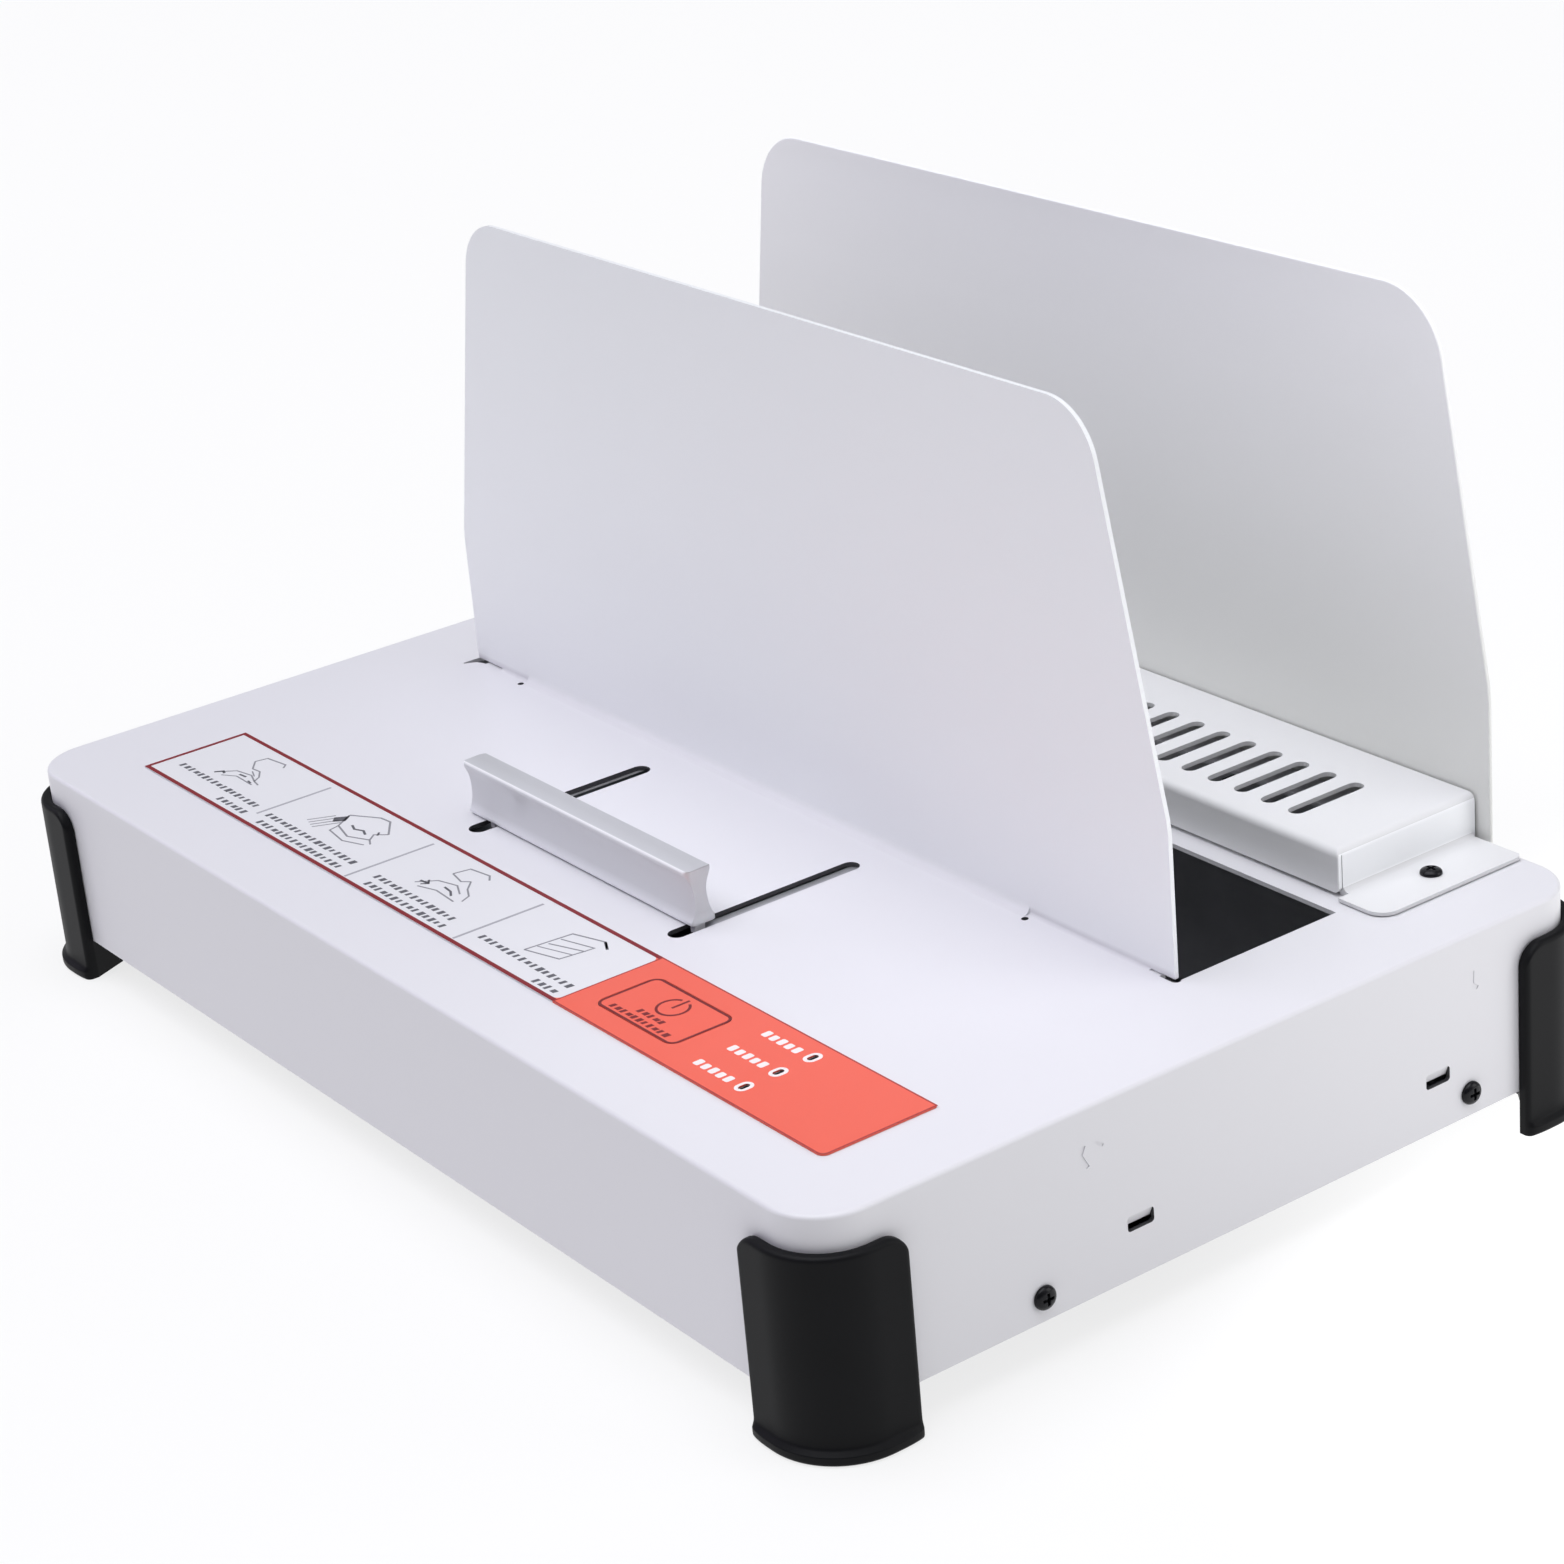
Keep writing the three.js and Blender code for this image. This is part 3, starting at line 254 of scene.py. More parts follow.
M["mineral"] = surface("mineral_board", (0.62, 0.57, 0.46), 0.92, spec=0.2, vary=0.12, vary_scale=160.0, grain=800.0,
                       bump=0.7, bump_dist=0.00015)
M["silicone"] = surface("heater_mat", (0.42, 0.11, 0.035), 0.68, spec=0.3, vary=0.15, vary_scale=90.0, grain=1500.0,
                        bump=0.5, bump_dist=0.0001)
M["pcb"] = surface("board_mask", (0.018, 0.105, 0.045), 0.38, spec=0.5, vary=0.35, vary_scale=220.0, grain=900.0,
                   bump=0.3, bump_dist=0.00005)
M["coil"] = surface("windings", (0.30, 0.11, 0.045), 0.42, metal=0.5, vary=0.3, vary_scale=260.0, grain=900.0,
                    bump=0.8, bump_dist=0.0002, stretch=(1, 1, 0.05))
M["blue"] = surface("relay_case", (0.030, 0.080, 0.230), 0.42, spec=0.4, vary=0.12, vary_scale=120.0, grain=1800.0,
                    bump=0.1, bump_dist=0.00004)
M["can"] = surface("capacitor_sleeve", (0.020, 0.022, 0.034), 0.25, spec=0.5, vary=0.2, vary_scale=120.0, grain=1800.0,
                   bump=0.1, bump_dist=0.00003)
M["green"] = surface("terminal_case", (0.030, 0.150, 0.065), 0.48, spec=0.4, vary=0.12, vary_scale=120.0, grain=1800.0,
                     bump=0.2, bump_dist=0.00005)
M["black"] = surface("black_moulding", (0.014, 0.014, 0.016), 0.42, spec=0.45, vary=0.25, vary_scale=90.0, grain=2400.0,
                     bump=0.25, bump_dist=0.00005)
M["ivory"] = surface("acetal", (0.62, 0.62, 0.57), 0.45, spec=0.4, vary=0.05, vary_scale=120.0, grain=1800.0,
                     bump=0.15, bump_dist=0.00005)



def carriage_with_painted_highlight():
    """Zinc sheet; the upper faces of the ribs that run under the slots are painted pale and less metallic: a painted
    highlight where light comes down through the slots.
    """
    m = surface("carriage_sheet", (0.30, 0.31, 0.33), 0.40, metal=0.9, vary=0.10, vary_scale=70.0, rough_vary=0.10,
                grain=700.0, bump=0.15, bump_dist=0.00004, stretch=(0.08, 1, 1))
    nt = m.node_tree
    b = nt.nodes["Principled BSDF"]
    src = b.inputs["Base Color"].links[0].from_socket
    tc = nt.nodes.new("ShaderNodeTexCoord")
    sep = nt.nodes.new("ShaderNodeSeparateXYZ")
    nt.links.new(tc.outputs["Object"], sep.inputs[0])
    mr = nt.nodes.new("ShaderNodeMapRange")
    mr.inputs["From Min"].default_value = 0.05895
    mr.inputs["From Max"].default_value = 0.05912
    nt.links.new(sep.outputs["Z"], mr.inputs["Value"])
    mx = nt.nodes.new("ShaderNodeMix")
    mx.data_type = "RGBA"
    nt.links.new(mr.outputs["Result"], mx.inputs[0])
    nt.links.new(src, mx.inputs[6])
    mx.inputs[7].default_value = (0.82, 0.82, 0.85, 1)
    nt.links.new(mx.outputs[2], b.inputs["Base Color"])
    mt = nt.nodes.new("ShaderNodeMapRange")
    mt.inputs["To Min"].default_value = 0.9
    mt.inputs["To Max"].default_value = 0.1
    nt.links.new(mr.outputs["Result"], mt.inputs["Value"])
    nt.links.new(mt.outputs["Result"], b.inputs["Metallic"])
    return m


M["carriage"] = carriage_with_painted_highlight()

# ------------------------------------------------------------------ mesh helpers (mm in, metres out)


def arc(cx, cy, r, a0, a1, n):
    return [(cx + r * math.cos(math.radians(a0 + (a1 - a0) * i / n)),
             cy + r * math.sin(math.radians(a0 + (a1 - a0) * i / n))) for i in range(n + 1)]


def rrect(x0, x1, y0, y1, r, n=12):
    r = min(r, (x1 - x0) / 2 - 1e-4, (y1 - y0) / 2 - 1e-4)
    return (arc(x1 - r, y0 + r, r, -90, 0, n) + arc(x1 - r, y1 - r, r, 0, 90, n)
            + arc(x0 + r, y1 - r, r, 90, 180, n) + arc(x0 + r, y0 + r, r, 180, 270, n))


def obj_from(name, verts, faces):
    me = bpy.data.meshes.new(name)
    me.from_pydata([(x * MM, y * MM, z * MM) for x, y, z in verts], [], faces)
    me.update()
    o = bpy.data.objects.new(name, me)
    bpy.context.scene.collection.objects.link(o)
    bm = bmesh.new()
    bm.from_mesh(me)
    bmesh.ops.remove_doubles(bm, verts=bm.verts, dist=1e-7)
    bmesh.ops.recalc_face_normals(bm, faces=bm.faces)
    bm.to_mesh(me)
    bm.free()
    return o


def loft(name, rings, caps=True, closed_loop=False):
    n = len(rings[0])
    verts = [p for r in rings for p in r]
    faces = []
    k = len(rings)
    for a in range(k if closed_loop else k - 1):
        b = (a + 1) % k
        for i in range(n):
            j = (i + 1) % n
            faces.append((a * n + i, a * n + j, b * n + j, b * n + i))
    if caps and not closed_loop:
        faces.append(tuple(reversed(range(n))))
        faces.append(tuple((k - 1) * n + i for i in range(n)))
    return obj_from(name, verts, faces)


def prism(name, axis, pts, a, b):
    def at(p, c):
        if axis == "z":
            return (p[0], p[1], c)
        if axis == "y":
            return (p[0], c, p[1])
        return (c, p[0], p[1])
    return loft(name, [[at(p, a) for p in pts], [at(p, b) for p in pts]])


def block(name, x0, x1, y0, y1, z0, z1):
    return prism(name, "z", [(x0, y0), (x1, y0), (x1, y1), (x0, y1)], z0, z1)


def cylinder(name, axis, u, v, r, a, b, n=40):
    return prism(name, axis, [(u + r * math.cos(2 * math.pi * i / n), v + r * math.sin(2 * math.pi * i / n)) for i in range(n)], a, b)


def drop(o):
    me = o.data
    bpy.data.objects.remove(o)
    if me.users == 0:
        bpy.data.meshes.remove(me)


def bake(o):
    bpy.context.view_layer.update()
    dg = bpy.context.evaluated_depsgraph_get()
    me = bpy.data.meshes.new_from_object(o.evaluated_get(dg), depsgraph=dg)
    old = o.data
    o.modifiers.clear()
    o.data = me
    me.name = o.name
    bpy.data.meshes.remove(old)


def boolean(o, others, op="DIFFERENCE"):
    for c in others:
        md = o.modifiers.new("b", "BOOLEAN")
        md.operation = op
        md.solver = "EXACT"
        md.object = c
    bake(o)
    for c in others:
        drop(c)
    return o


def join(name, parts):
    bm = bmesh.new()
    for p in parts:
        tmp = p.data.copy()
        bm.from_mesh(tmp)
        bpy.data.meshes.remove(tmp)
    me = bpy.data.meshes.new(name)
    bm.to_mesh(me)
    bm.free()
    o = bpy.data.objects.new(name, me)
    bpy.context.scene.collection.objects.link(o)
    for p in parts:
        drop(p)
    return o


def piece(o, mat, body=BODY, nodes=(), bevel=0.3, seg=3, angle=35.0, weighted=True):
    o.data.materials.clear()
    o.data.materials.append(M[mat])
    for p in o.data.polygons:
        p.use_smooth = True
    if bevel:
        md = o.modifiers.new("edge", "BEVEL")
        md.width = bevel * MM
        md.segments = seg
        md.limit_method = "ANGLE"
        md.angle_limit = math.radians(angle)
        md.miter_outer = "MITER_ARC"
        md.use_clamp_overlap = True
    if weighted:
        wn = o.modifiers.new("normals", "WEIGHTED_NORMAL")
        wn.mode = "FACE_AREA"
        wn.weight = 100
        wn.keep_sharp = False
    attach(o, body)
    if nodes:
        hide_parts(*nodes)
    return o


def node_look(name, mat, bevel=0.0, seg=2, angle=35.0):
    """A CAD node that stays: its material, and a fine edge break where it is a machined or moulded block."""
    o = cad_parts[name]
    for s in o.material_slots:
        s.material = M[mat]
    if not o.material_slots:
        o.data.materials.append(M[mat])
    if bevel:
        md = o.modifiers.new("edge", "BEVEL")
        md.width = bevel * MM
        md.segments = seg
        md.limit_method = "ANGLE"
        md.angle_limit = math.radians(angle)
        md.use_clamp_overlap = True


def plate_outline(half, z0, kink, toph, zt, r, n=24, low_r=0.0):
    d = Vector((toph - half, zt - kink)).normalized()
    ang = math.acos(d.x)
    t = r / math.tan(ang / 2)
    p0 = Vector((toph, zt)) - d * t
    cx, cy = toph - t, zt - r
    a0 = math.degrees(math.atan2(p0.y - cy, p0.x - cx))
    # the side turns into the lean with a soft corner
    k = 3.0
    side = [(half, kink - k), (half - 0.12, kink - k / 3), (half + d.x * k * 0.62, kink + d.y * k * 0.62), (half + d.x * k, kink + d.y * k)]
    right = ([(half, z0)] if not low_r else arc(half - low_r, z0 + low_r, low_r, -90, 0, 6)) + side + arc(cx, cy, r, a0, 90, n)
    return right + [(-x, z) for x, z in reversed(right)]


# ------------------------------------------------------------------ case and front plate, one folded sheet
def case_rings(inset, re, z0, flip=False):
    def ring(i, z):
        return [(x, y, z) for x, y in rrect(-HL + i, HL - i, -HD + i, HD - i, R_PLAN - i, 20)]
    rings = [ring(inset, z0), ring(inset, Z_TOP - inset - re - 0.02)]
    for k in range(0, 11):
        a = math.radians(k * 9)
        rings.append(ring(inset + re * (1 - math.cos(a)), Z_TOP - inset - re + re * math.sin(a)))
    return rings


outer = case_rings(0, R_EDGE, Z_BOT)
inner = case_rings(T, 0.3, Z_BOT)
n_ring = len(outer[0])
verts, faces = [], []
for rings, sign in ((outer, 1), (inner, -1)):
    base = len(verts)
    for r in rings:
        verts += r
    for a in range(len(rings) - 1):
        for i in range(n_ring):
            j = (i + 1) % n_ring
            f = (base + a * n_ring + i, base + a * n_ring + j, base + (a + 1) * n_ring + j, base + (a + 1) * n_ring + i)
            faces.append(f if sign > 0 else f[::-1])
    top = [base + (len(rings) - 1) * n_ring + i for i in range(n_ring)]
    faces.append(tuple(top) if sign > 0 else tuple(reversed(top)))
off = len(outer) * n_ring
for i in range(n_ring):
    j = (i + 1) % n_ring
    faces.append((j, i, off + i, off + j))
case = obj_from("case_shell", verts, faces)


def groove(pts, w):
    """Outline of a line through points, for cutting a shallow mark."""
    lft, rgt = [], []
    n = len(pts)
    for i, p in enumerate(pts):
        p = Vector(p)
        d1 = (p - Vector(pts[i - 1])).normalized() if i else None
        d2 = (Vector(pts[i + 1]) - p).normalized() if i < n - 1 else None
        d = (d1 + d2).normalized() if d1 is not None and d2 is not None else (d1 if d1 is not None else d2)
        q = Vector((-d.y, d.x))
        lft.append(tuple(p + q * w / 2))
        rgt.append(tuple(p - q * w / 2))
    return rgt + lft[::-1]


zc = (Z_TOP - 2.2, Z_TOP + 2)
cutters = [
    block("c", -TROUGH_X, TROUGH_X, TROUGH_Y0, TROUGH_Y1, *zc),
    prism("c", "z", [(-155, 8.2), (-154.3, 8.2), (-153.6, 9.6), (-153, 10.6), (-152.3, 11.4), (-151.4, 11.9), (-150.4, 12.3), (-149.3, 12.5), (-149.3, 14.8), (-155, 14.8)], *zc),
    prism("c", "z", [(155, 13.6), (155, 14.8), (149.3, 14.8), (149.3, 12.7), (154, 12.7), (154.6, 13.0)], *zc),
    cylinder("c", "z", BEND_X0, 10.9, 0.95, *zc, 24),
    cylinder("c", "z", BEND_X1, 10.9, 0.95, *zc, 24),
    prism("c", "z", rrect(KX0 - 0.3, KX1 + 0.3, KY0 - 0.3, KY1 + 0.3, 3.3), *zc),
    block("c", -132, 132, 84, 108, *zc),
    prism("c", "y", rrect(INLET[0] - INLET[2] / 2 - 0.2, INLET[0] + INLET[2] / 2 + 0.2, INLET[1] - INLET[3] / 2 - 0.2, INLET[1] + INLET[3] / 2 + 0.2, 2, 6), HD - 4, HD + 4),
    prism("c", "y", rrect(SWITCH[0] - SWITCH[2] / 2 - 0.2, SWITCH[0] + SWITCH[2] / 2 + 0.2, SWITCH[1] - SWITCH[3] / 2 - 0.2, SWITCH[1] + SWITCH[3] / 2 + 0.2, 1, 6), HD - 4, HD + 4),
    # shallow press marks in the right wall
    prism("c", "x", groove([(-43.1, 50.9), (-44.1, 48.6), (-42.2, 45.0)], 1.0), HL - 0.28, HL + 1),
    prism("c", "x", groove([(-39.9, 50.6), (-37.6, 49.0)], 0.7), HL - 0.18, HL + 1),
    prism("c", "x", groove([(80.0, 50.2), (79.9, 46.6), (81.6, 45.2)], 0.95), HL - 0.20, HL + 1),
]
for s in (-1, 1):
    cutters.append(prism("c", "z", rrect(SLOT_X[s] - SLOT_W[s] / 2, SLOT_X[s] + SLOT_W[s] / 2, SLOT_Y0, SLOT_Y1[s], SLOT_W[s] / 2), *zc))
    for y, z in SIDE_SLOT:
        cutters.append(prism("c", "x", rrect(y - 4, y + 4, z - 2, z + 2, 0.9, 5), s * HL - 3, s * HL + 3))
for y in LED_Y:
    cutters.append(prism("c", "z", rrect(LED_X - 0.85, LED_X + 0.85, y - 1.75, y + 1.75, 0.85, 8), *zc))
for x in REAR_SCREW_X:
    cutters.append(cylinder("c", "y", x, REAR_SCREW_Z, 1.6, HD - 4, HD + 4, 20))
boolean(case, cutters)

# the front plate stands up out of the same sheet along the front of the trough
plate = prism("p", "y", plate_outline(GUIDE_HALF, Z_TOP + 0.5, GUIDE_KINK, GUIDE_TOPH, GUIDE_TOP, GUIDE_R), GUIDE_Y, GUIDE_Y + T)
grown = [block("p", FOLD_X0, FOLD_X1, GUIDE_Y, GUIDE_Y + T, Z_TOP - T + 0.01, Z_TOP + 2)]


def fold(r, xa, xb):
    pts = [(GUIDE_Y + 0.4, Z_TOP - 0.4), (GUIDE_Y + 0.4, Z_TOP + r)]
    pts += arc(GUIDE_Y - r, Z_TOP + r, r, 0, -90, 12)
    pts += [(GUIDE_Y - r, Z_TOP - 0.4)]
    return prism("p", "x", pts[::-1], xa, xb)


grown += [fold(BEND_R, BEND_X0 + 1, BEND_X1 - 1), fold(FOLD_R, FOLD_X0, BEND_X0 + 1.1), fold(FOLD_R, BEND_X1 - 1.1, FOLD_X1)]
# a lip bent inwards from the upper edge of each side slot
for s in (-1, 1):
    for y, z in SIDE_SLOT:
        lip = [(HL - 0.3, z + 1.95), (HL - 0.3, z + 2.6), (HL - 1.3, z + 2.6), (HL - 2.3, z - 0.45), (HL - 1.45, z - 0.75)]
        grown.append(prism("p", "y", [(s * a, b) for a, b in lip], y - 3.9, y + 3.9))
boolean(case, [plate], "UNION")
boolean(case, grown, "UNION")
piece(case, "paint", nodes=("top_case",), bevel=0.28, seg=3, angle=40)
# the front plate and its fold take the lighter copy of the coat, painted light; the walls of the relief holes, the top
# slots and the side slots take the near-black paint, painted shade
case.data.materials.append(M["paint_plate"])
case.data.materials.append(M["cut_edge"])
for p in case.data.polygons:
    c = p.center / MM
    if Z_TOP - T - 0.01 < c.z < Z_TOP + 0.6 and abs(p.normal.z) < 0.3 and min(math.hypot(c.x - BEND_X0, c.y - 10.9), math.hypot(c.x - BEND_X1, c.y - 10.9)) < 1.05:
        p.material_index = 2
    elif c.z > Z_TOP + 0.25:
        p.material_index = 1
    elif Z_TOP - T - 0.01 < c.z < Z_TOP and abs(p.normal.z) < 0.3 and min(abs(c.x - SLOT_X[s]) for s in (-1, 1)) < 3.0 and SLOT_Y0 - 0.1 < c.y < 2.5:
        p.material_index = 2
    elif HL - T - 0.01 < abs(c.x) < HL and abs(p.normal.x) < 0.3 and any(abs(c.y - y) < 4.2 and abs(c.z - z) < 2.2 for y, z in SIDE_SLOT):
        p.material_index = 2

# ------------------------------------------------------------------ base plate and inner sheet parts stay CAD nodes
node_look("base_plate", "base", 0.15)
node_look("trough_frame", "steel", 0.2)
node_look("carriage", "carriage", 0.2)
node_look("clamp_pad", "rubber", 0.3, 3)
node_look("heating_plate", "alu", 0.25)
node_look("insulation_pad", "mineral", 0.3)
node_look("heater_strip", "silicone", 0.25)
node_look("thermal_cutout", "nylon", 0.3)
node_look("sensor_lever", "ivory", 0.25)
node_look("sensor_switch", "nylon", 0.25)
node_look("key_switch", "black", 0.15)
node_look("control_board", "pcb", 0.1)
node_look("main_board", "pcb", 0.1)
node_look("transformer", "coil", 0.4)
node_look("relay", "blue", 0.4)
node_look("capacitor", "can", 0.5)
node_look("terminal_block", "green", 0.25)
for s in ("left", "right"):
    node_look("guide_rod_" + s, "chrome", 0.4)
    for f in ("front", "rear"):
        node_look("rod_block_%s_%s" % (f, s), "nylon", 0.4)
        node_look("foot_screw_%s_%s" % (f, s), "zinc_screw", 0.25)

# ------------------------------------------------------------------ feet
FOOT_PROFILE = ([(-13, 0.5), (-12.5, 0.0), (3.7, 0.0)] + arc(3.7, 1.1, 1.1, -90, 0, 5) + [(4.8, 2.3)]
                + arc(4.35, 2.3, 0.45, 0, 50, 4) + [(3.75, 3.45), (3.45, 3.8), (3.28, 4.25), (3.21, 5.0), (3.2, 6.5), (3.2, 49.9)]
                + arc(1.9, 50.5, 1.3, 0, 90, 7) + [(1.0, 51.8), (0.5, 51.65), (0.3, 51.3), (0.3, 12.2), (0.3, 11.4), (-12.5, 11.4), (-13, 10.9)])


def foot(name, sx, sy, node):
    """A corner shoe: an upright wall round the corner with rounded ears, a flared lip and a pad under the case."""
    cx, cy = HL - R_PLAN, -HD + R_PLAN
    n_end = 12
    ends = [FOOT_EAR * (1 - math.cos(math.pi / 2 * k / n_end)) for k in range(n_end + 1)]
    ends += [6.5, 7.2, 8.2]
    stations = [(HL, -HD + FOOT_LEN - e, 1, 0, e) for e in ends]
    for k in range(0, 25):
        a = math.radians(-90 * k / 24)
        stations.append((cx + R_PLAN * math.cos(a), cy + R_PLAN * math.sin(a), math.cos(a), math.sin(a), 99))
    stations += [(HL - FOOT_LEN + e, -HD, 0, -1, e) for e in reversed(ends)]
    rings = []
    for px, py, nx, ny, e in stations:
        sink = FOOT_EAR - math.sqrt(max(0.0, FOOT_EAR ** 2 - (FOOT_EAR - e) ** 2)) if e < FOOT_EAR else 0.0
        ring = []
        # the end edge is rounded and the lip swells out of the wall over its first millimetres
        turn = FOOT_ROUND * (1 - math.sqrt(max(0.0, 1 - (1 - e / FOOT_ROUND) ** 2))) if e < FOOT_ROUND else 0.0
        swell = math.sqrt(max(0.0, 1 - (1 - e / FOOT_RUN) ** 2)) if e < FOOT_RUN else 1.0
        for o, z in FOOT_PROFILE:
            extra = max(0.0, o - 3.2)
            o = min(o, 3.2)
            o = o - turn * max(0.0, min(1.0, (o - 0.5) / 2.7)) + extra * swell
            zz = z if z < 39 else 39 + (z - 39) * (FOOT_TOP - 39 - sink) / (FOOT_TOP - 39)
            ring.append((sx * (px + nx * o), -sy * (py + ny * o), zz))
        rings.append(ring)
    o = loft(name, rings)
    fx, fy = sx * FOOT_SCREW[0], sy * FOOT_SCREW[1]
    e = -HD + FOOT_LEN - 10
    side = [(HL - 26, e - 4.4), (HL - 14, e - 4.4), (HL - 8.5, e), (HL + 0.35, e), (HL + 0.35, -HD + FOOT_LEN + 1), (HL - 26, -HD + FOOT_LEN + 1)]
    front = [(HL - FOOT_LEN - 1, -HD - 0.35), (HL - FOOT_LEN, -HD - 0.35), (HL - FOOT_LEN + 0.45 * 13.4, -HD + 13.2), (HL - FOOT_LEN - 1, -HD + 13.2)]
    boolean(o, [cylinder("c", "z", fx, fy, 4.2, -2, 5, 32), cylinder("c", "z", fx, fy, 2.1, 4, 14, 24)]
            + [prism("c", "z", [(sx * a, -sy * b) for a, b in q], -1, 11.46) for q in (side, front)])
    piece(o, "foot", nodes=(node,), bevel=0.3, seg=3, angle=50)


foot("corner_foot_front_right", 1, -1, "foot_front_right")
foot("corner_foot_front_left", -1, -1, "foot_front_left")
foot("corner_foot_rear_right", 1, 1, "foot_rear_right")
foot("corner_foot_rear_left", -1, 1, "foot_rear_left")

# ------------------------------------------------------------------ raised rear housing
ZH0 = Z_TOP + 0.1


def house_ring(k, z, y1, rc):
    return [(x, y, z) for x, y in arc(HOUSE_HALF - k - rc, HOUSE_Y0 + k + rc, rc, -90, 0, 4) + [(HOUSE_HALF - k, y1), (-HOUSE_HALF + k, y1)]
            + arc(-HOUSE_HALF + k + rc, HOUSE_Y0 + k + rc, rc, 180, 270, 4)]


def house_rings(i, rc, re, z0, y1):
    rings = [house_ring(i, z0, y1, rc), house_ring(i, HOUSE_TOP - 2 - 0.02, y1, rc)]
    for q in range(0, 9):
        a = math.radians(q * 11.25)
        rings.append(house_ring(i + re * (1 - math.cos(a)), HOUSE_TOP - 2 + re * math.sin(a), y1, rc))
    return rings


house = loft("vent_housing", house_rings(0, 0.4, 2.0, ZH0, HOUSE_Y1))
hollow = loft("c", house_rings(T, 0.3, 0.8, ZH0 - 3, HOUSE_Y1 + 6))
boolean(house, [hollow])
flanges = []
for s in (-1, 1):
    # the flange: a thin rim over a slightly smaller foot
    for d, za, zb_ in ((0.0, ZH0 + 0.26, ZH0 + T), (1.3, ZH0, ZH0 + 0.5)):
        r, xo, y0, y1 = 5.3 - d, FLANGE_X - d, FLANGE_Y + d, HOUSE_Y1 - 1.0 - d
        pts = [(HOUSE_HALF - 0.8, HOUSE_Y0 + 1.6 + d), (HOUSE_HALF + 2 + d, HOUSE_Y0 + 1.6 + d), (HOUSE_HALF + 2 + d, y0)]
        pts += arc(xo - r, y0 + r, r, -90, 0, 14)
        pts += [(xo, y1 - 1.2), (xo - 1.2, y1), (HOUSE_HALF - 0.8, y1)]
        if s < 0:
            pts = [(-x, y) for x, y in reversed(pts)]
        flanges.append(prism("f", "z", pts, za, zb_))
    # bend between the upright end and the flange
    fr = 1.5
    prof = [(HOUSE_HALF - 0.4, ZH0 + 0.4), (HOUSE_HALF + fr + 0.3, ZH0 + 0.4), (HOUSE_HALF + fr, ZH0 + T)]
    prof += arc(HOUSE_HALF + fr, ZH0 + T + fr, fr, -90, -180, 8)[1:] + [(HOUSE_HALF - 0.4, ZH0 + T + fr)]
    if s < 0:
        prof = [(-x, z) for x, z in reversed(prof)]
    flanges.append(prism("f", "y", prof, HOUSE_Y0 + 1.62, HOUSE_Y1 - 1.2))
boolean(house, flanges, "UNION")
cutters = [block("c", -HOUSE_HALF - 1, HOUSE_HALF + 1, HOUSE_Y0 - 1, HOUSE_Y0 + 1.4, ZH0 - 1, ZH0 + 0.9)]
for k in range(VENT_N):
    x = (k - (VENT_N - 1) / 2) * VENT_PITCH
    cutters.append(prism("c", "z", rrect(x - VENT_W / 2, x + VENT_W / 2, VENT_Y0, VENT_Y1, VENT_W / 2, 8), HOUSE_TOP - 3, HOUSE_TOP + 2))
for s in (-1, 1):
    cutters.append(cylinder("c", "z", s * FLANGE_SCREW[0], FLANGE_SCREW[1], 1.7, ZH0 - 1, ZH0 + 3, 24))
    # the front flap stops just short of the end wall, and its lower corner is rounded
    xa, xb = sorted((s * (HOUSE_HALF - 2), s * (HOUSE_HALF + 1)))
    cutters.append(block("c", xa, xb, HOUSE_Y0 + 1.25, HOUSE_Y0 + 1.55, ZH0 - 1, HOUSE_TOP - 1.6))
    rc, zb = 1.5, ZH0 + 0.9
    pts = [(HOUSE_HALF + 0.5, zb - 0.5), (HOUSE_HALF + 0.5, zb + rc)] + arc(HOUSE_HALF - rc, zb + rc, rc, 0, -90, 8) + [(HOUSE_HALF - rc, zb - 0.5)]
    cutters.append(prism("c", "y", [(s * a, b) for a, b in pts], HOUSE_Y0 - 0.5, HOUSE_Y0 + 1.4))
boolean(house, cutters)
piece(house, "paint_house", nodes=("rear_housing",), bevel=0.24, seg=3, angle=40)
# the end walls of the housing take the lighter copy of the coat: painted light
house.data.materials.append(M["paint_plate"])
for p in house.data.polygons:
    if abs(p.normal.x) > 0.9 and abs(abs(p.center.x / MM) - HOUSE_HALF) < 0.1 and p.center.z / MM > ZH0 + 2:
        p.material_index = 1

# ------------------------------------------------------------------ rear plate
rear = prism("back_plate", "y", plate_outline(REAR_HALF, REAR_LOW, REAR_KINK, REAR_TOPH, REAR_TOP, REAR_R, 28, 3.0), REAR_Y, REAR_Y + T)
boolean(rear, [cylinder("c", "y", x, REAR_SCREW_Z, 1.7, REAR_Y - 2, REAR_Y + 4, 24) for x in REAR_SCREW_X])
piece(rear, "paint_rear_lit", nodes=("rear_plate",), bevel=0.42, seg=3, angle=50)


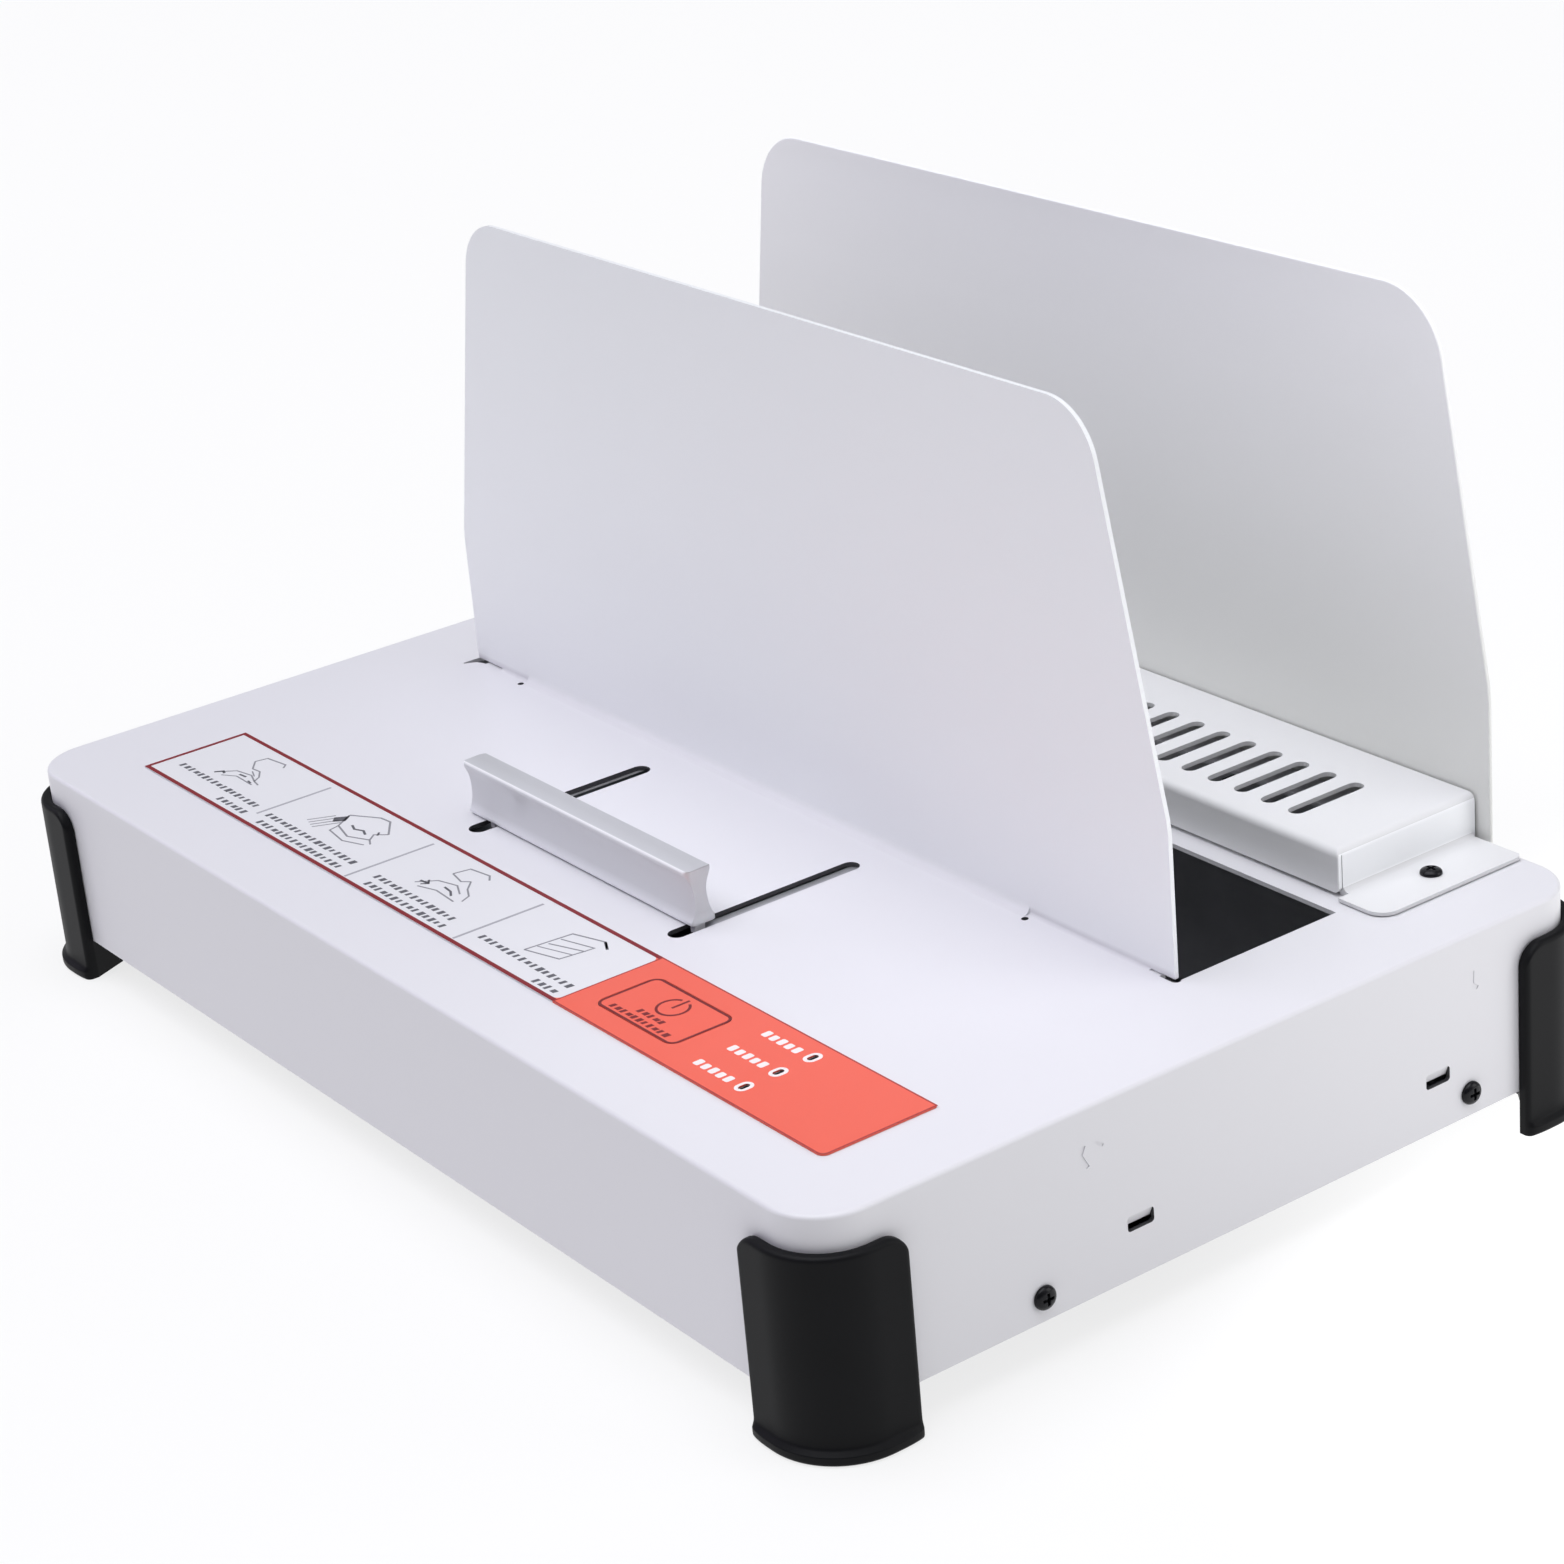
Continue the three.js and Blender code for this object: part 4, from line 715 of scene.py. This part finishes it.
# ------------------------------------------------------------------ screws
def dome_screw(name, axis, sign, u, v, base, r, h, shank_to, node, mat="screw"):
    """Button head with a cross recess. base is the face it stands on, sign the way it points."""
    prof = [(0.0, shank_to)]
    sr = 1.5 if r < 3.3 else 2.0
    prof += [(sr, shank_to), (sr, base), (r, base)]
    prof += [(r * math.cos(math.radians(a)) ** 0.75, base + sign * (0.35 + (h - 0.35) * math.sin(math.radians(a)))) for a in (0, 15, 30, 45, 60, 75)]
    prof += [(0.0, base + sign * h)]
    n = 36
    rings = []
    for k in range(n):
        a = 2 * math.pi * k / n
        ring = []
        for rad, c in prof:
            p, q = u + rad * math.cos(a), v + rad * math.sin(a)
            ring.append((p, q, c) if axis == "z" else ((p, c, q) if axis == "y" else (c, p, q)))
        rings.append(ring)
    verts = [p for r_ in rings for p in r_]
    m = len(prof)
    faces = []
    for a in range(n):
        b = (a + 1) % n
        for i in range(m - 1):
            faces.append((a * m + i, b * m + i, b * m + i + 1, a * m + i + 1))
    o = obj_from(name, verts, faces)
    bm = bmesh.new()
    bm.from_mesh(o.data)
    bmesh.ops.remove_doubles(bm, verts=bm.verts, dist=1e-6)
    bmesh.ops.dissolve_degenerate(bm, dist=1e-7, edges=bm.edges)
    bmesh.ops.recalc_face_normals(bm, faces=bm.faces)
    bm.to_mesh(o.data)
    bm.free()
    top = base + sign * h
    lo, hi = sorted((top - sign * h * 0.62, top + sign * 1.0))
    w, ln = r * 0.13, r * 0.52
    cuts = []
    for du, dv in ((ln, w), (w, ln)):
        pts = [(u - du, v - dv), (u + du, v - dv), (u + du, v + dv), (u - du, v + dv)]
        cuts.append(prism("c", axis, pts, lo, hi))
    boolean(o, cuts)
    piece(o, mat, nodes=(node,), bevel=0.06, seg=2, angle=40)


for s, n in ((-1, "left"), (1, "right")):
    for k, (y, z) in enumerate(SIDE_SCREW):
        dome_screw("side_button_%s_%d" % (n, k + 1), "x", s, y, z, s * (HL + 0.1), 3.05, 1.75, s * (HL - 8), "side_screw_%s_%s" % (n, "rear" if k else "front"))
    dome_screw("flange_button_" + n, "z", 1, s * FLANGE_SCREW[0], FLANGE_SCREW[1], ZH0 + T + 0.05, 2.85, 1.5, Z_TOP - 5, "flange_screw_" + n)
for k, x in enumerate(REAR_SCREW_X):
    dome_screw("back_button_%d" % (k + 1), "y", 1, x, REAR_SCREW_Z, REAR_Y + T + 0.05, 3.1, 1.7, REAR_Y - 6, "rear_screw_%d" % (k + 1))

# ------------------------------------------------------------------ handle
def smooth(pts, n=4):
    """Rounder run through measured points."""
    out = []
    for i in range(len(pts) - 1):
        p0, p1, p2, p3 = (Vector(pts[max(i - 1, 0)]), Vector(pts[i]), Vector(pts[i + 1]), Vector(pts[min(i + 2, len(pts) - 1)]))
        for k in range(n):
            t = k / n
            q = 0.5 * ((2 * p1) + (p2 - p0) * t + (2 * p0 - 5 * p1 + 4 * p2 - p3) * t * t + (3 * p1 - p0 - 3 * p2 + p3) * t ** 3)
            out.append((q.x, q.y))
    return out + [tuple(pts[-1])]


H_FRONT = [(-50.4, 61.7), (-49.7, 63.2), (-49.2, 65.2), (-49.05, 67.6), (-49.2, 70.0), (-49.7, 72.2), (-50.5, 74.0), (-51.0, 74.8)]
H_REAR = [(-43.5, 75.0), (-44.2, 73.8), (-44.9, 72.2), (-45.3, 70.2), (-45.2, 67.6), (-44.7, 65.2), (-43.9, 63.2), (-42.7, 61.7)]
H = ([(-50.4, 61.02)] + smooth(H_FRONT) + [(-51.0, 75.45)] + arc(-50.45, 75.45, 0.53, 170, 100, 4) + [(-44.0, 76.17)]
     + arc(-43.95, 75.72, 0.45, 80, 0, 4) + smooth(H_REAR) + [(-42.7, 61.02)])
handle = prism("handle_grip", "x", list(reversed(H)), HANDLE_X0 + 0.02, HANDLE_X1 - 0.02)
hx0, hx1, hy0, hy1 = HANDLE_X0 - 0.01, HANDLE_X1 + 0.01, -51.02, -42.66
corner = (arc(hx1 - 2.0, hy0 + 2.0, 2.0, -90, 0, 10) + arc(hx1 - 1.9, hy1 - 1.9, 1.9, 0, 90, 12)
          + arc(hx0 + 3.4, hy1 - 3.4, 3.4, 90, 180, 18) + arc(hx0 + 1.2, hy0 + 1.2, 1.2, 180, 270, 8))
boolean(handle, [prism("c", "z", corner, Z_TOP - 3, Z_TOP + 20)], "INTERSECT")
piece(handle, "handle", body="clamp_slide_body", nodes=("pull_handle",), bevel=0.38, seg=4, angle=38)

# ------------------------------------------------------------------ control overlay
ZF0, ZF1 = Z_TOP + 0.05, Z_TOP + 0.50          # film
ZI0, ZI1 = ZF1 - 0.02, ZF1 + 0.03              # ink
white = prism("overlay_film", "z", [(LX0, LY0), (LXM, LY0), (LXM, LY1), (LX0, LY1)], ZF0, ZF1)
piece(white, "film_white", nodes=("control_overlay",), bevel=0.06, seg=2)
rr = 2.2
red_pts = arc(LX1 - rr, LY0 + rr, rr, -90, 0, 10) + arc(LX1 - 0.8, LY1 - 0.8, 0.8, 0, 90, 5) + [(LXM + 0.02, LY1), (LXM + 0.02, LY0)]
redp = prism("overlay_panel", "z", red_pts, ZF0, ZF1)
cuts = [prism("c", "z", rrect(KX0 - 0.3, KX1 + 0.3, KY0 - 0.3, KY1 + 0.3, 3.3), ZF0 - 1, ZF1 + 1)]
cuts += [prism("c", "z", rrect(LED_X - 0.85, LED_X + 0.85, y - 1.75, y + 1.75, 0.85, 8), ZF0 - 1, ZF1 + 1) for y in LED_Y]
boolean(redp, cuts)
piece(redp, "film_red", bevel=0.06, seg=2)


def stroke(pts, w, closed=False):
    """A flat printed line through points, mitred, as verts and faces of a thin closed strip."""
    n = len(pts)
    left, right = [], []
    for i, p in enumerate(pts):
        p = Vector(p)
        a = Vector(pts[i - 1]) if (i > 0 or closed) else None
        b = Vector(pts[(i + 1) % n]) if (i < n - 1 or closed) else None
        d1 = (p - a).normalized() if a is not None else None
        d2 = (b - p).normalized() if b is not None else None
        if d1 is None:
            nrm = Vector((-d2.y, d2.x))
        elif d2 is None:
            nrm = Vector((-d1.y, d1.x))
        else:
            nrm = Vector((-(d1.y + d2.y), d1.x + d2.x))
            if nrm.length < 1e-6:
                nrm = Vector((-d1.y, d1.x))
            nrm.normalize()
            c = max(0.4, nrm.dot(Vector((-d1.y, d1.x))))
            nrm = nrm / c
        left.append(p + nrm * w / 2)
        right.append(p - nrm * w / 2)
    v, f = [], []
    for z in (ZI0, ZI1):
        v += [(q.x, q.y, z) for q in left] + [(q.x, q.y, z) for q in right]
    m = 2 * n
    for i in range(n if closed else n - 1):
        j = (i + 1) % n
        f.append((m + i, m + j, m + n + j, m + n + i))
        f.append((i, n + i, n + j, j))
        f.append((i, j, m + j, m + i))
        f.append((n + i, m + n + i, m + n + j, n + j))
    if not closed:
        f.append((0, m, m + n, n))
        f.append((n - 1, 2 * n - 1, m + 2 * n - 1, m + n - 1))
    return v, f


def print_layer(name, strokes, mat, dz=0.0, body=BODY):
    verts, faces = [], []
    for v, f in strokes:
        b = len(verts)
        verts += [(x, y, z + dz) for x, y, z in v]
        faces += [tuple(b + i for i in q) for q in f]
    o = obj_from(name, verts, faces)
    piece(o, mat, body=body, bevel=0, weighted=False)
    for p in o.data.polygons:
        p.use_smooth = False
    return o


def circle_pts(cx, cy, r, a0=0, a1=360, n=24):
    pts = arc(cx, cy, r, a0, a1, n)
    return pts[:-1] if a1 - a0 == 360 else pts


def fill(pts):
    """A flat printed shape."""
    n = len(pts)
    v = [(x, y, ZI0) for x, y in pts] + [(x, y, ZI1) for x, y in pts]
    f = [tuple(range(n, 2 * n)), tuple(reversed(range(n)))]
    f += [(i, (i + 1) % n, n + (i + 1) % n, n + i) for i in range(n)]
    return v, f


def dash(x, y, w, h):
    """One plain mark of a printed row: a short slanting bar."""
    return [fill([(x, y - h / 2), (x + w, y - h / 2), (x + w + 0.3, y + h / 2), (x + 0.3, y + h / 2)])]


def row(x0, x1, y, pitch, w, h):
    out = []
    n = int(round((x1 - x0 + pitch - w) / pitch))
    for k in range(n):
        out += dash(x0 + k * pitch, y, w * (0.7, 0.9, 0.62, 1.0, 0.75, 0.85, 0.6)[k % 7], h * (1.0, 0.85, 1.0, 0.72, 0.95)[k % 5])
    return out


# outline of the white field, closed against the red panel by a thin line, and a darker edge round the panel
OW = 1.3
print_layer("overlay_outline", [
    stroke([(LXM, LY0 + OW / 2), (LX0 + OW / 2, LY0 + OW / 2), (LX0 + OW / 2, LY1 - OW / 2), (LXM, LY1 - OW / 2)], OW)], "ink_line")
print_layer("overlay_panel_edge", [
    stroke([(LXM + 0.2, LY1 - 0.3), (LXM + 0.2, LY0 + 0.3)], 0.42),
    stroke([(LXM, LY0 + 0.22)] + arc(LX1 - 2.2, LY0 + 2.2, 1.98, -90, 0, 8) + [(LX1 - 0.22, LY1 - 0.22), (LXM, LY1 - 0.22)], 0.42)], "ink_edge")
cr = 1.6
print_layer("overlay_corner_fill", [
    fill([(LXM, LY0 + OW), (LXM, LY0 + OW + cr)] + arc(LXM - cr, LY0 + OW + cr, cr, 0, -90, 6)[1:]),
    fill([(LXM, LY1 - OW), (LXM - cr, LY1 - OW)] + arc(LXM - cr, LY1 - OW - cr, cr, 90, 0, 6)[1:])], "film_red")
grey, dark, pale = [], [], []
for x, y0, y1 in ((-101.4, -92.2, -68.6), (-47.0, -96.4, -68.8), (6.6, -96.4, -69.0)):
    pale.append(stroke([(x, y0), (x, y1)], 0.85))


def poly(pts, ox, oy, w=0.5, closed=False, sc=1.0):
    return stroke([(ox + x * sc, oy + y * sc) for x, y in pts], w, closed)


# plain line figures in grey and dark ink, one per field of the light panel
ox, oy = -127.0, -78.5
grey += [poly([(-7.4, 4.4), (-6.6, 8.0), (1.4, 9.2), (3.0, 7.6)], ox, oy, 0.55), poly([(-7.4, 4.4), (-3.2, 1.2), (0.2, 1.6)], ox, oy, 0.5),
         poly([(-9.6, -7.6), (-5.4, -2.6), (0.8, -1.4), (5.2, -3.0)], ox, oy, 0.5), poly([(-6.2, -7.2), (-2.0, -4.6), (6.8, -4.8)], ox, oy, 0.45),
         poly([(0.2, 1.6), (3.6, -0.6), (5.2, -3.0), (8.4, -3.6)], ox, oy, 0.5), poly([(-1.6, 0.2), (2.0, -1.2)], ox, oy, 0.4)]
dark += [poly([(-9.6, -7.6), (-8.2, -5.4), (-6.6, -6.0)], ox, oy, 0.75), poly([(-2.6, -3.4), (0.6, -3.0)], ox, oy, 0.7), poly([(3.4, -4.0), (5.6, -4.4)], ox, oy, 0.6)]
ox, oy = -72.0, -78.0
grey += [poly([(-8.8, 3.2), (-0.6, 8.2), (3.6, 8.6), (10.6, 3.8)], ox, oy, 0.6), poly([(-8.8, 3.2), (-5.0, -2.6), (3.0, -4.6), (9.8, -1.6)], ox, oy, 0.55),
         poly([(10.6, 3.8), (7.6, 1.0), (9.8, -1.6), (12.4, -3.0)], ox, oy, 0.55), poly([(-5.0, -2.6), (-4.2, -5.8), (4.4, -7.0), (11.4, -4.4)], ox, oy, 0.5)]
grey += [poly([(-15.0 + k * 1.7, -6.6 - k * 0.5), (-11.4 + k * 1.7, 0.4 - k * 0.5)], ox, oy, 0.42) for k in range(4)]
dark += [fill([(ox - 10.6, oy - 0.6), (ox - 8.2, oy + 3.0), (ox - 6.2, oy + 0.2), (ox - 8.6, oy - 2.4)]), poly([(-2.4, 0.2), (0.4, -0.8), (3.2, 0.4), (5.8, -0.6)], ox, oy, 0.7),
         poly([(7.4, 2.8), (8.8, 1.4)], ox, oy, 0.6)]
ox, oy = -20.0, -79.0
grey += [poly([(-6.8, 3.6), (-5.8, 8.4), (1.6, 9.6), (4.0, 8.0)], ox, oy, 0.55), poly([(-6.8, 3.6), (-1.0, 2.4), (1.0, 4.2)], ox, oy, 0.5),
         poly([(-10.0, -6.2), (-6.0, -1.4), (0.4, 0.4), (5.4, -2.0)], ox, oy, 0.5), poly([(-7.4, -7.0), (-1.2, -5.0), (8.0, -5.6)], ox, oy, 0.5),
         poly([(1.0, 4.2), (4.4, 1.0), (8.2, -1.0), (9.6, -4.0)], ox, oy, 0.5)]
dark += [poly([(-9.8, -4.6), (-6.4, -4.2)], ox, oy, 0.7), poly([(-8.2, -2.9), (-6.4, -4.2), (-7.8, -5.8)], ox, oy, 0.6), poly([(-1.4, -2.4), (2.2, -2.8), (4.6, -4.2)], ox, oy, 0.65)]
ox, oy = 31.5, -79.0
grey += [poly([(-6.0, -8.2), (-4.6, 5.4), (5.6, 8.6)], ox, oy, 0.55), poly([(5.6, 8.6), (8.8, 6.6)], ox, oy, 0.55), poly([(-6.0, -8.2), (5.0, -5.0), (6.0, 1.8), (-4.4, -2.0)], ox, oy, 0.5),
         poly([(6.0, 1.8), (6.3, 4.6), (-4.2, 1.6)], ox, oy, 0.45), poly([(-5.2, -4.8), (5.4, -1.4)], ox, oy, 0.4)]
dark += [poly([(5.4, 8.5), (9.4, 6.4)], ox, oy, 0.75)]

# plain rows of short marks where each step is explained
RW, RH, RP = 1.75, 2.1, 2.62
dark += row(-149.0, -105.4, -89.7, RP, RW, RH) + row(-119.2, -103.4, -94.2, RP, RW, RH)
dark += row(-98.6, -51.0, -90.3, RP, RW, RH) + row(-96.4, -52.6, -94.4, RP, RW, RH)
dark += row(-41.0, -1.8, -90.4, RP, RW, RH) + row(-39.2, -1.6, -94.4, RP, RW, RH)
dark += row(10.6, 51.6, -90.6, RP, RW, RH) + row(41.6, 51.6, -94.8, RP, RW, RH)
print_layer("overlay_lines", grey, "ink_grey")
print_layer("overlay_dividers", pale, "ink_pale")
print_layer("overlay_marks", dark, "ink_dark")

# red panel: a white ring round each light and a plain row of white bars beside it
whites = []
for k, y in enumerate(LED_Y):
    whites.append(stroke(rrect(LED_X - 1.35, LED_X + 1.35, y - 2.0, y + 2.0, 1.35, 10), 0.95, True))
    for q in range(5):
        x = LED_X - 18.4 + q * 2.95
        whites.append(fill(rrect(x + 0.1, x + 2.1, y - 1.75, y + 1.0 - 0.25 * (q % 2), 0.5, 4)))
print_layer("overlay_white_marks", whites, "ink_white")

# key with its printed outline and power symbol
key = loft("key_cap", [
    [(x, y, Z_TOP - 2.5) for x, y in rrect(KX0 - 1.4, KX1 + 1.4, KY0 - 1.4, KY1 + 1.4, 4.2, 10)],
    [(x, y, Z_TOP - 1.35) for x, y in rrect(KX0 - 1.4, KX1 + 1.4, KY0 - 1.4, KY1 + 1.4, 4.2, 10)],
    [(x, y, Z_TOP - 1.35) for x, y in rrect(KX0, KX1, KY0, KY1, 3.0, 10)],
    [(x, y, Z_TOP + 0.50) for x, y in rrect(KX0, KX1, KY0, KY1, 3.0, 10)]])
kcx, kcy = (KX0 + KX1) / 2, (KY0 + KY1) / 2
boolean(key, [cylinder("c", "z", kcx, kcy, 3.0, 54.4, Z_TOP - 2.0, 32)], "UNION")
piece(key, "key_red", body="start_key_body", nodes=("start_key",), bevel=0.14, seg=3)
pcx, pcy = kcx + 0.2, kcy + 2.4
ks = [stroke(rrect(KX0 + 0.36, KX1 - 0.36, KY0 + 0.36, KY1 - 0.36, 2.2, 8), 0.68, True),
      stroke(circle_pts(pcx, pcy, 4.1, 112, 428, 34), 0.72),
      stroke([(pcx, pcy - 0.4), (pcx, pcy + 4.9)], 0.72)]
for v_f in row(pcx - 5.2, pcx + 4.6, kcy - 4.1, 2.2, 1.7, 1.8) + row(pcx - 12.4, pcx + 11.4, kcy - 7.1, 2.2, 1.7, 1.8):
    ks.append(v_f)
print_layer("key_print", ks, "ink_red", body="start_key_body")

# light pipes
for k, y in enumerate(LED_Y):
    rings_ = []
    for grow, z in ((0.35, 51.1), (0.35, 52.1), (0.0, 52.1), (0.0, 60.2), (-0.12, 60.45), (-0.3, 60.58)):
        rings_.append([(x, yy, z) for x, yy in rrect(LED_X - 0.72 - grow, LED_X + 0.72 + grow, y - 1.6 - grow * 1.2, y + 1.6 + grow * 1.2, 0.72 + grow, 8)])
    lp = loft("light_pipe_%d" % (k + 1), rings_)
    piece(lp, "lens", nodes=("led_%d" % (k + 1),), bevel=0)

# ------------------------------------------------------------------ mains inlet and rocker switch stay CAD nodes with softened edges
node_look("inlet_socket", "black", 0.45, 3)
node_look("rocker_body", "black", 0.35, 3)
node_look("rocker", "nylon", 0.4, 3)

# ------------------------------------------------------------------ floor, light, camera
floor = loft("floor", [[(-9000, -9000, -0.02 - 20), (9000, -9000, -0.02 - 20), (9000, 9000, -0.02 - 20), (-9000, 9000, -0.02 - 20)],
                       [(-9000, -9000, -0.02), (9000, -9000, -0.02), (9000, 9000, -0.02), (-9000, 9000, -0.02)]])
# the floor glows like a light table, and glows brighter round a spot to the right rear of the case; that patch lights
# the rear right foot and shows in its reflection
mf = surface("floor_white", (0.20, 0.20, 0.20), 0.85, spec=0.05, vary=0.006, vary_scale=3.0, grain=400.0, bump=0.02, bump_dist=0.00005)
pb = mf.node_tree.nodes["Principled BSDF"]
pb.inputs["Emission Color"].default_value = (1, 1, 1, 1)
ft = mf.node_tree
fc = ft.nodes.new("ShaderNodeTexCoord")
fd = ft.nodes.new("ShaderNodeVectorMath")
fd.operation = "DISTANCE"
fd.inputs[1].default_value = (0.37, 0.22, 0.0)
ft.links.new(fc.outputs["Object"], fd.inputs[0])
fm = ft.nodes.new("ShaderNodeMapRange")
fm.interpolation_type = "SMOOTHSTEP"
fm.inputs["From Min"].default_value = 0.06
fm.inputs["From Max"].default_value = 0.32
fm.inputs["To Min"].default_value = 1.5
fm.inputs["To Max"].default_value = 0.75
ft.links.new(fd.outputs["Value"], fm.inputs["Value"])
ft.links.new(fm.outputs["Result"], pb.inputs["Emission Strength"])
floor.data.materials.append(mf)

# studio: an even white room that is darker where nothing is lit, low at the front right corner
w = bpy.data.worlds.new("studio")
bpy.context.scene.world = w
w.use_nodes = True
wn = w.node_tree
bg = wn.nodes["Background"]
tc = wn.nodes.new("ShaderNodeTexCoord")


def lobe(direction, lo, hi, out_lo, out_hi):
    d = wn.nodes.new("ShaderNodeVectorMath")
    d.operation = "DOT_PRODUCT"
    wn.links.new(tc.outputs["Generated"], d.inputs[0])
    d.inputs[1].default_value = direction
    m = wn.nodes.new("ShaderNodeMapRange")
    m.interpolation_type = "SMOOTHSTEP"
    m.inputs["From Min"].default_value = lo
    m.inputs["From Max"].default_value = hi
    m.inputs["To Min"].default_value = out_lo
    m.inputs["To Max"].default_value = out_hi
    wn.links.new(d.outputs["Value"], m.inputs["Value"])
    return m.outputs["Result"]


tint = wn.nodes.new("ShaderNodeMix")
tint.data_type = "RGBA"
tint.inputs[6].default_value = (1.0, 1.0, 1.02, 1)
tint.inputs[7].default_value = (0.985, 0.895, 1.20, 1)
wn.links.new(lobe((-0.25, -0.96, 0.1), 0.1, 0.9, 0.0, 1.0), tint.inputs[0])
wn.links.new(tint.outputs[2], bg.inputs["Color"])
dim = wn.nodes.new("ShaderNodeMath")
dim.operation = "MULTIPLY"
wn.links.new(lobe((0.7071, -0.7071, 0.0), 0.30, 0.95, 0.30, 0.06), dim.inputs[0])
dim.inputs[1].default_value = 1.0
wn.links.new(dim.outputs["Value"], bg.inputs["Strength"])


def area(name, loc, target, size, power, color=(1, 1, 1), size_y=None):
    li = bpy.data.lights.new(name, "AREA")
    li.shape = "RECTANGLE" if size_y else "SQUARE"
    li.size = size
    if size_y:
        li.size_y = size_y
    li.energy = power
    li.color = color
    o = bpy.data.objects.new(name, li)
    bpy.context.scene.collection.objects.link(o)
    d = Vector(target) - Vector(loc)
    o.rotation_euler = d.to_track_quat("-Z", "Y").to_euler()
    o.location = loc
    return o


def sun(name, direction, power, angle, color=(1, 1, 1)):
    li = bpy.data.lights.new(name, "SUN")
    li.energy = power
    li.angle = math.radians(angle)
    li.color = color
    o = bpy.data.objects.new(name, li)
    bpy.context.scene.collection.objects.link(o)
    o.rotation_euler = (-Vector(direction)).to_track_quat("-Z", "Y").to_euler()
    return o


sun("overhead", (-0.06, -0.21, 1.0), 2.42, 60, (1.0, 1.010, 1.055))
area("left_front_fill", (-1.75, -0.95, 1.15), (-0.05, 0.0, 0.08), 0.6, 3.0, (0.97, 0.90, 1.20))
area("right_rear_fill", (1.55, 1.45, 0.85), (0.1, 0.0, 0.08), 1.2, 10.5)
area("right_top_soft", (0.46, 0.06, 0.46), (0.12, -0.01, 0.06), 0.35, 0.35, (1.0, 1.0, 1.05))

cam = bpy.data.cameras.new("camera")
cam.sensor_fit = "HORIZONTAL"
cam.sensor_width = 36.0
cam.lens = 3801.38 / 1564.0 * 36.0
cam.clip_start, cam.clip_end = 0.05, 60.0
co = bpy.data.objects.new("camera", cam)
bpy.context.scene.collection.objects.link(co)
R = [[0.593850023493827, 0.8002689891964752, -0.0831366016074338],
     [0.27205045, -0.2969667, -0.91531379],
     [-0.7571860425876531, 0.5209417649182283, -0.39406722075596523]]
loc = (0.7667114, -0.5152308, 0.4655323)
co.matrix_world = Matrix((
    (R[0][0], -R[1][0], -R[2][0], loc[0]),
    (R[0][1], -R[1][1], -R[2][1], loc[1]),
    (R[0][2], -R[1][2], -R[2][2], loc[2]),
    (0, 0, 0, 1)))
bpy.context.scene.camera = co
bpy.context.scene.view_settings.view_transform = "Standard"
bpy.context.scene.view_settings.look = "None"
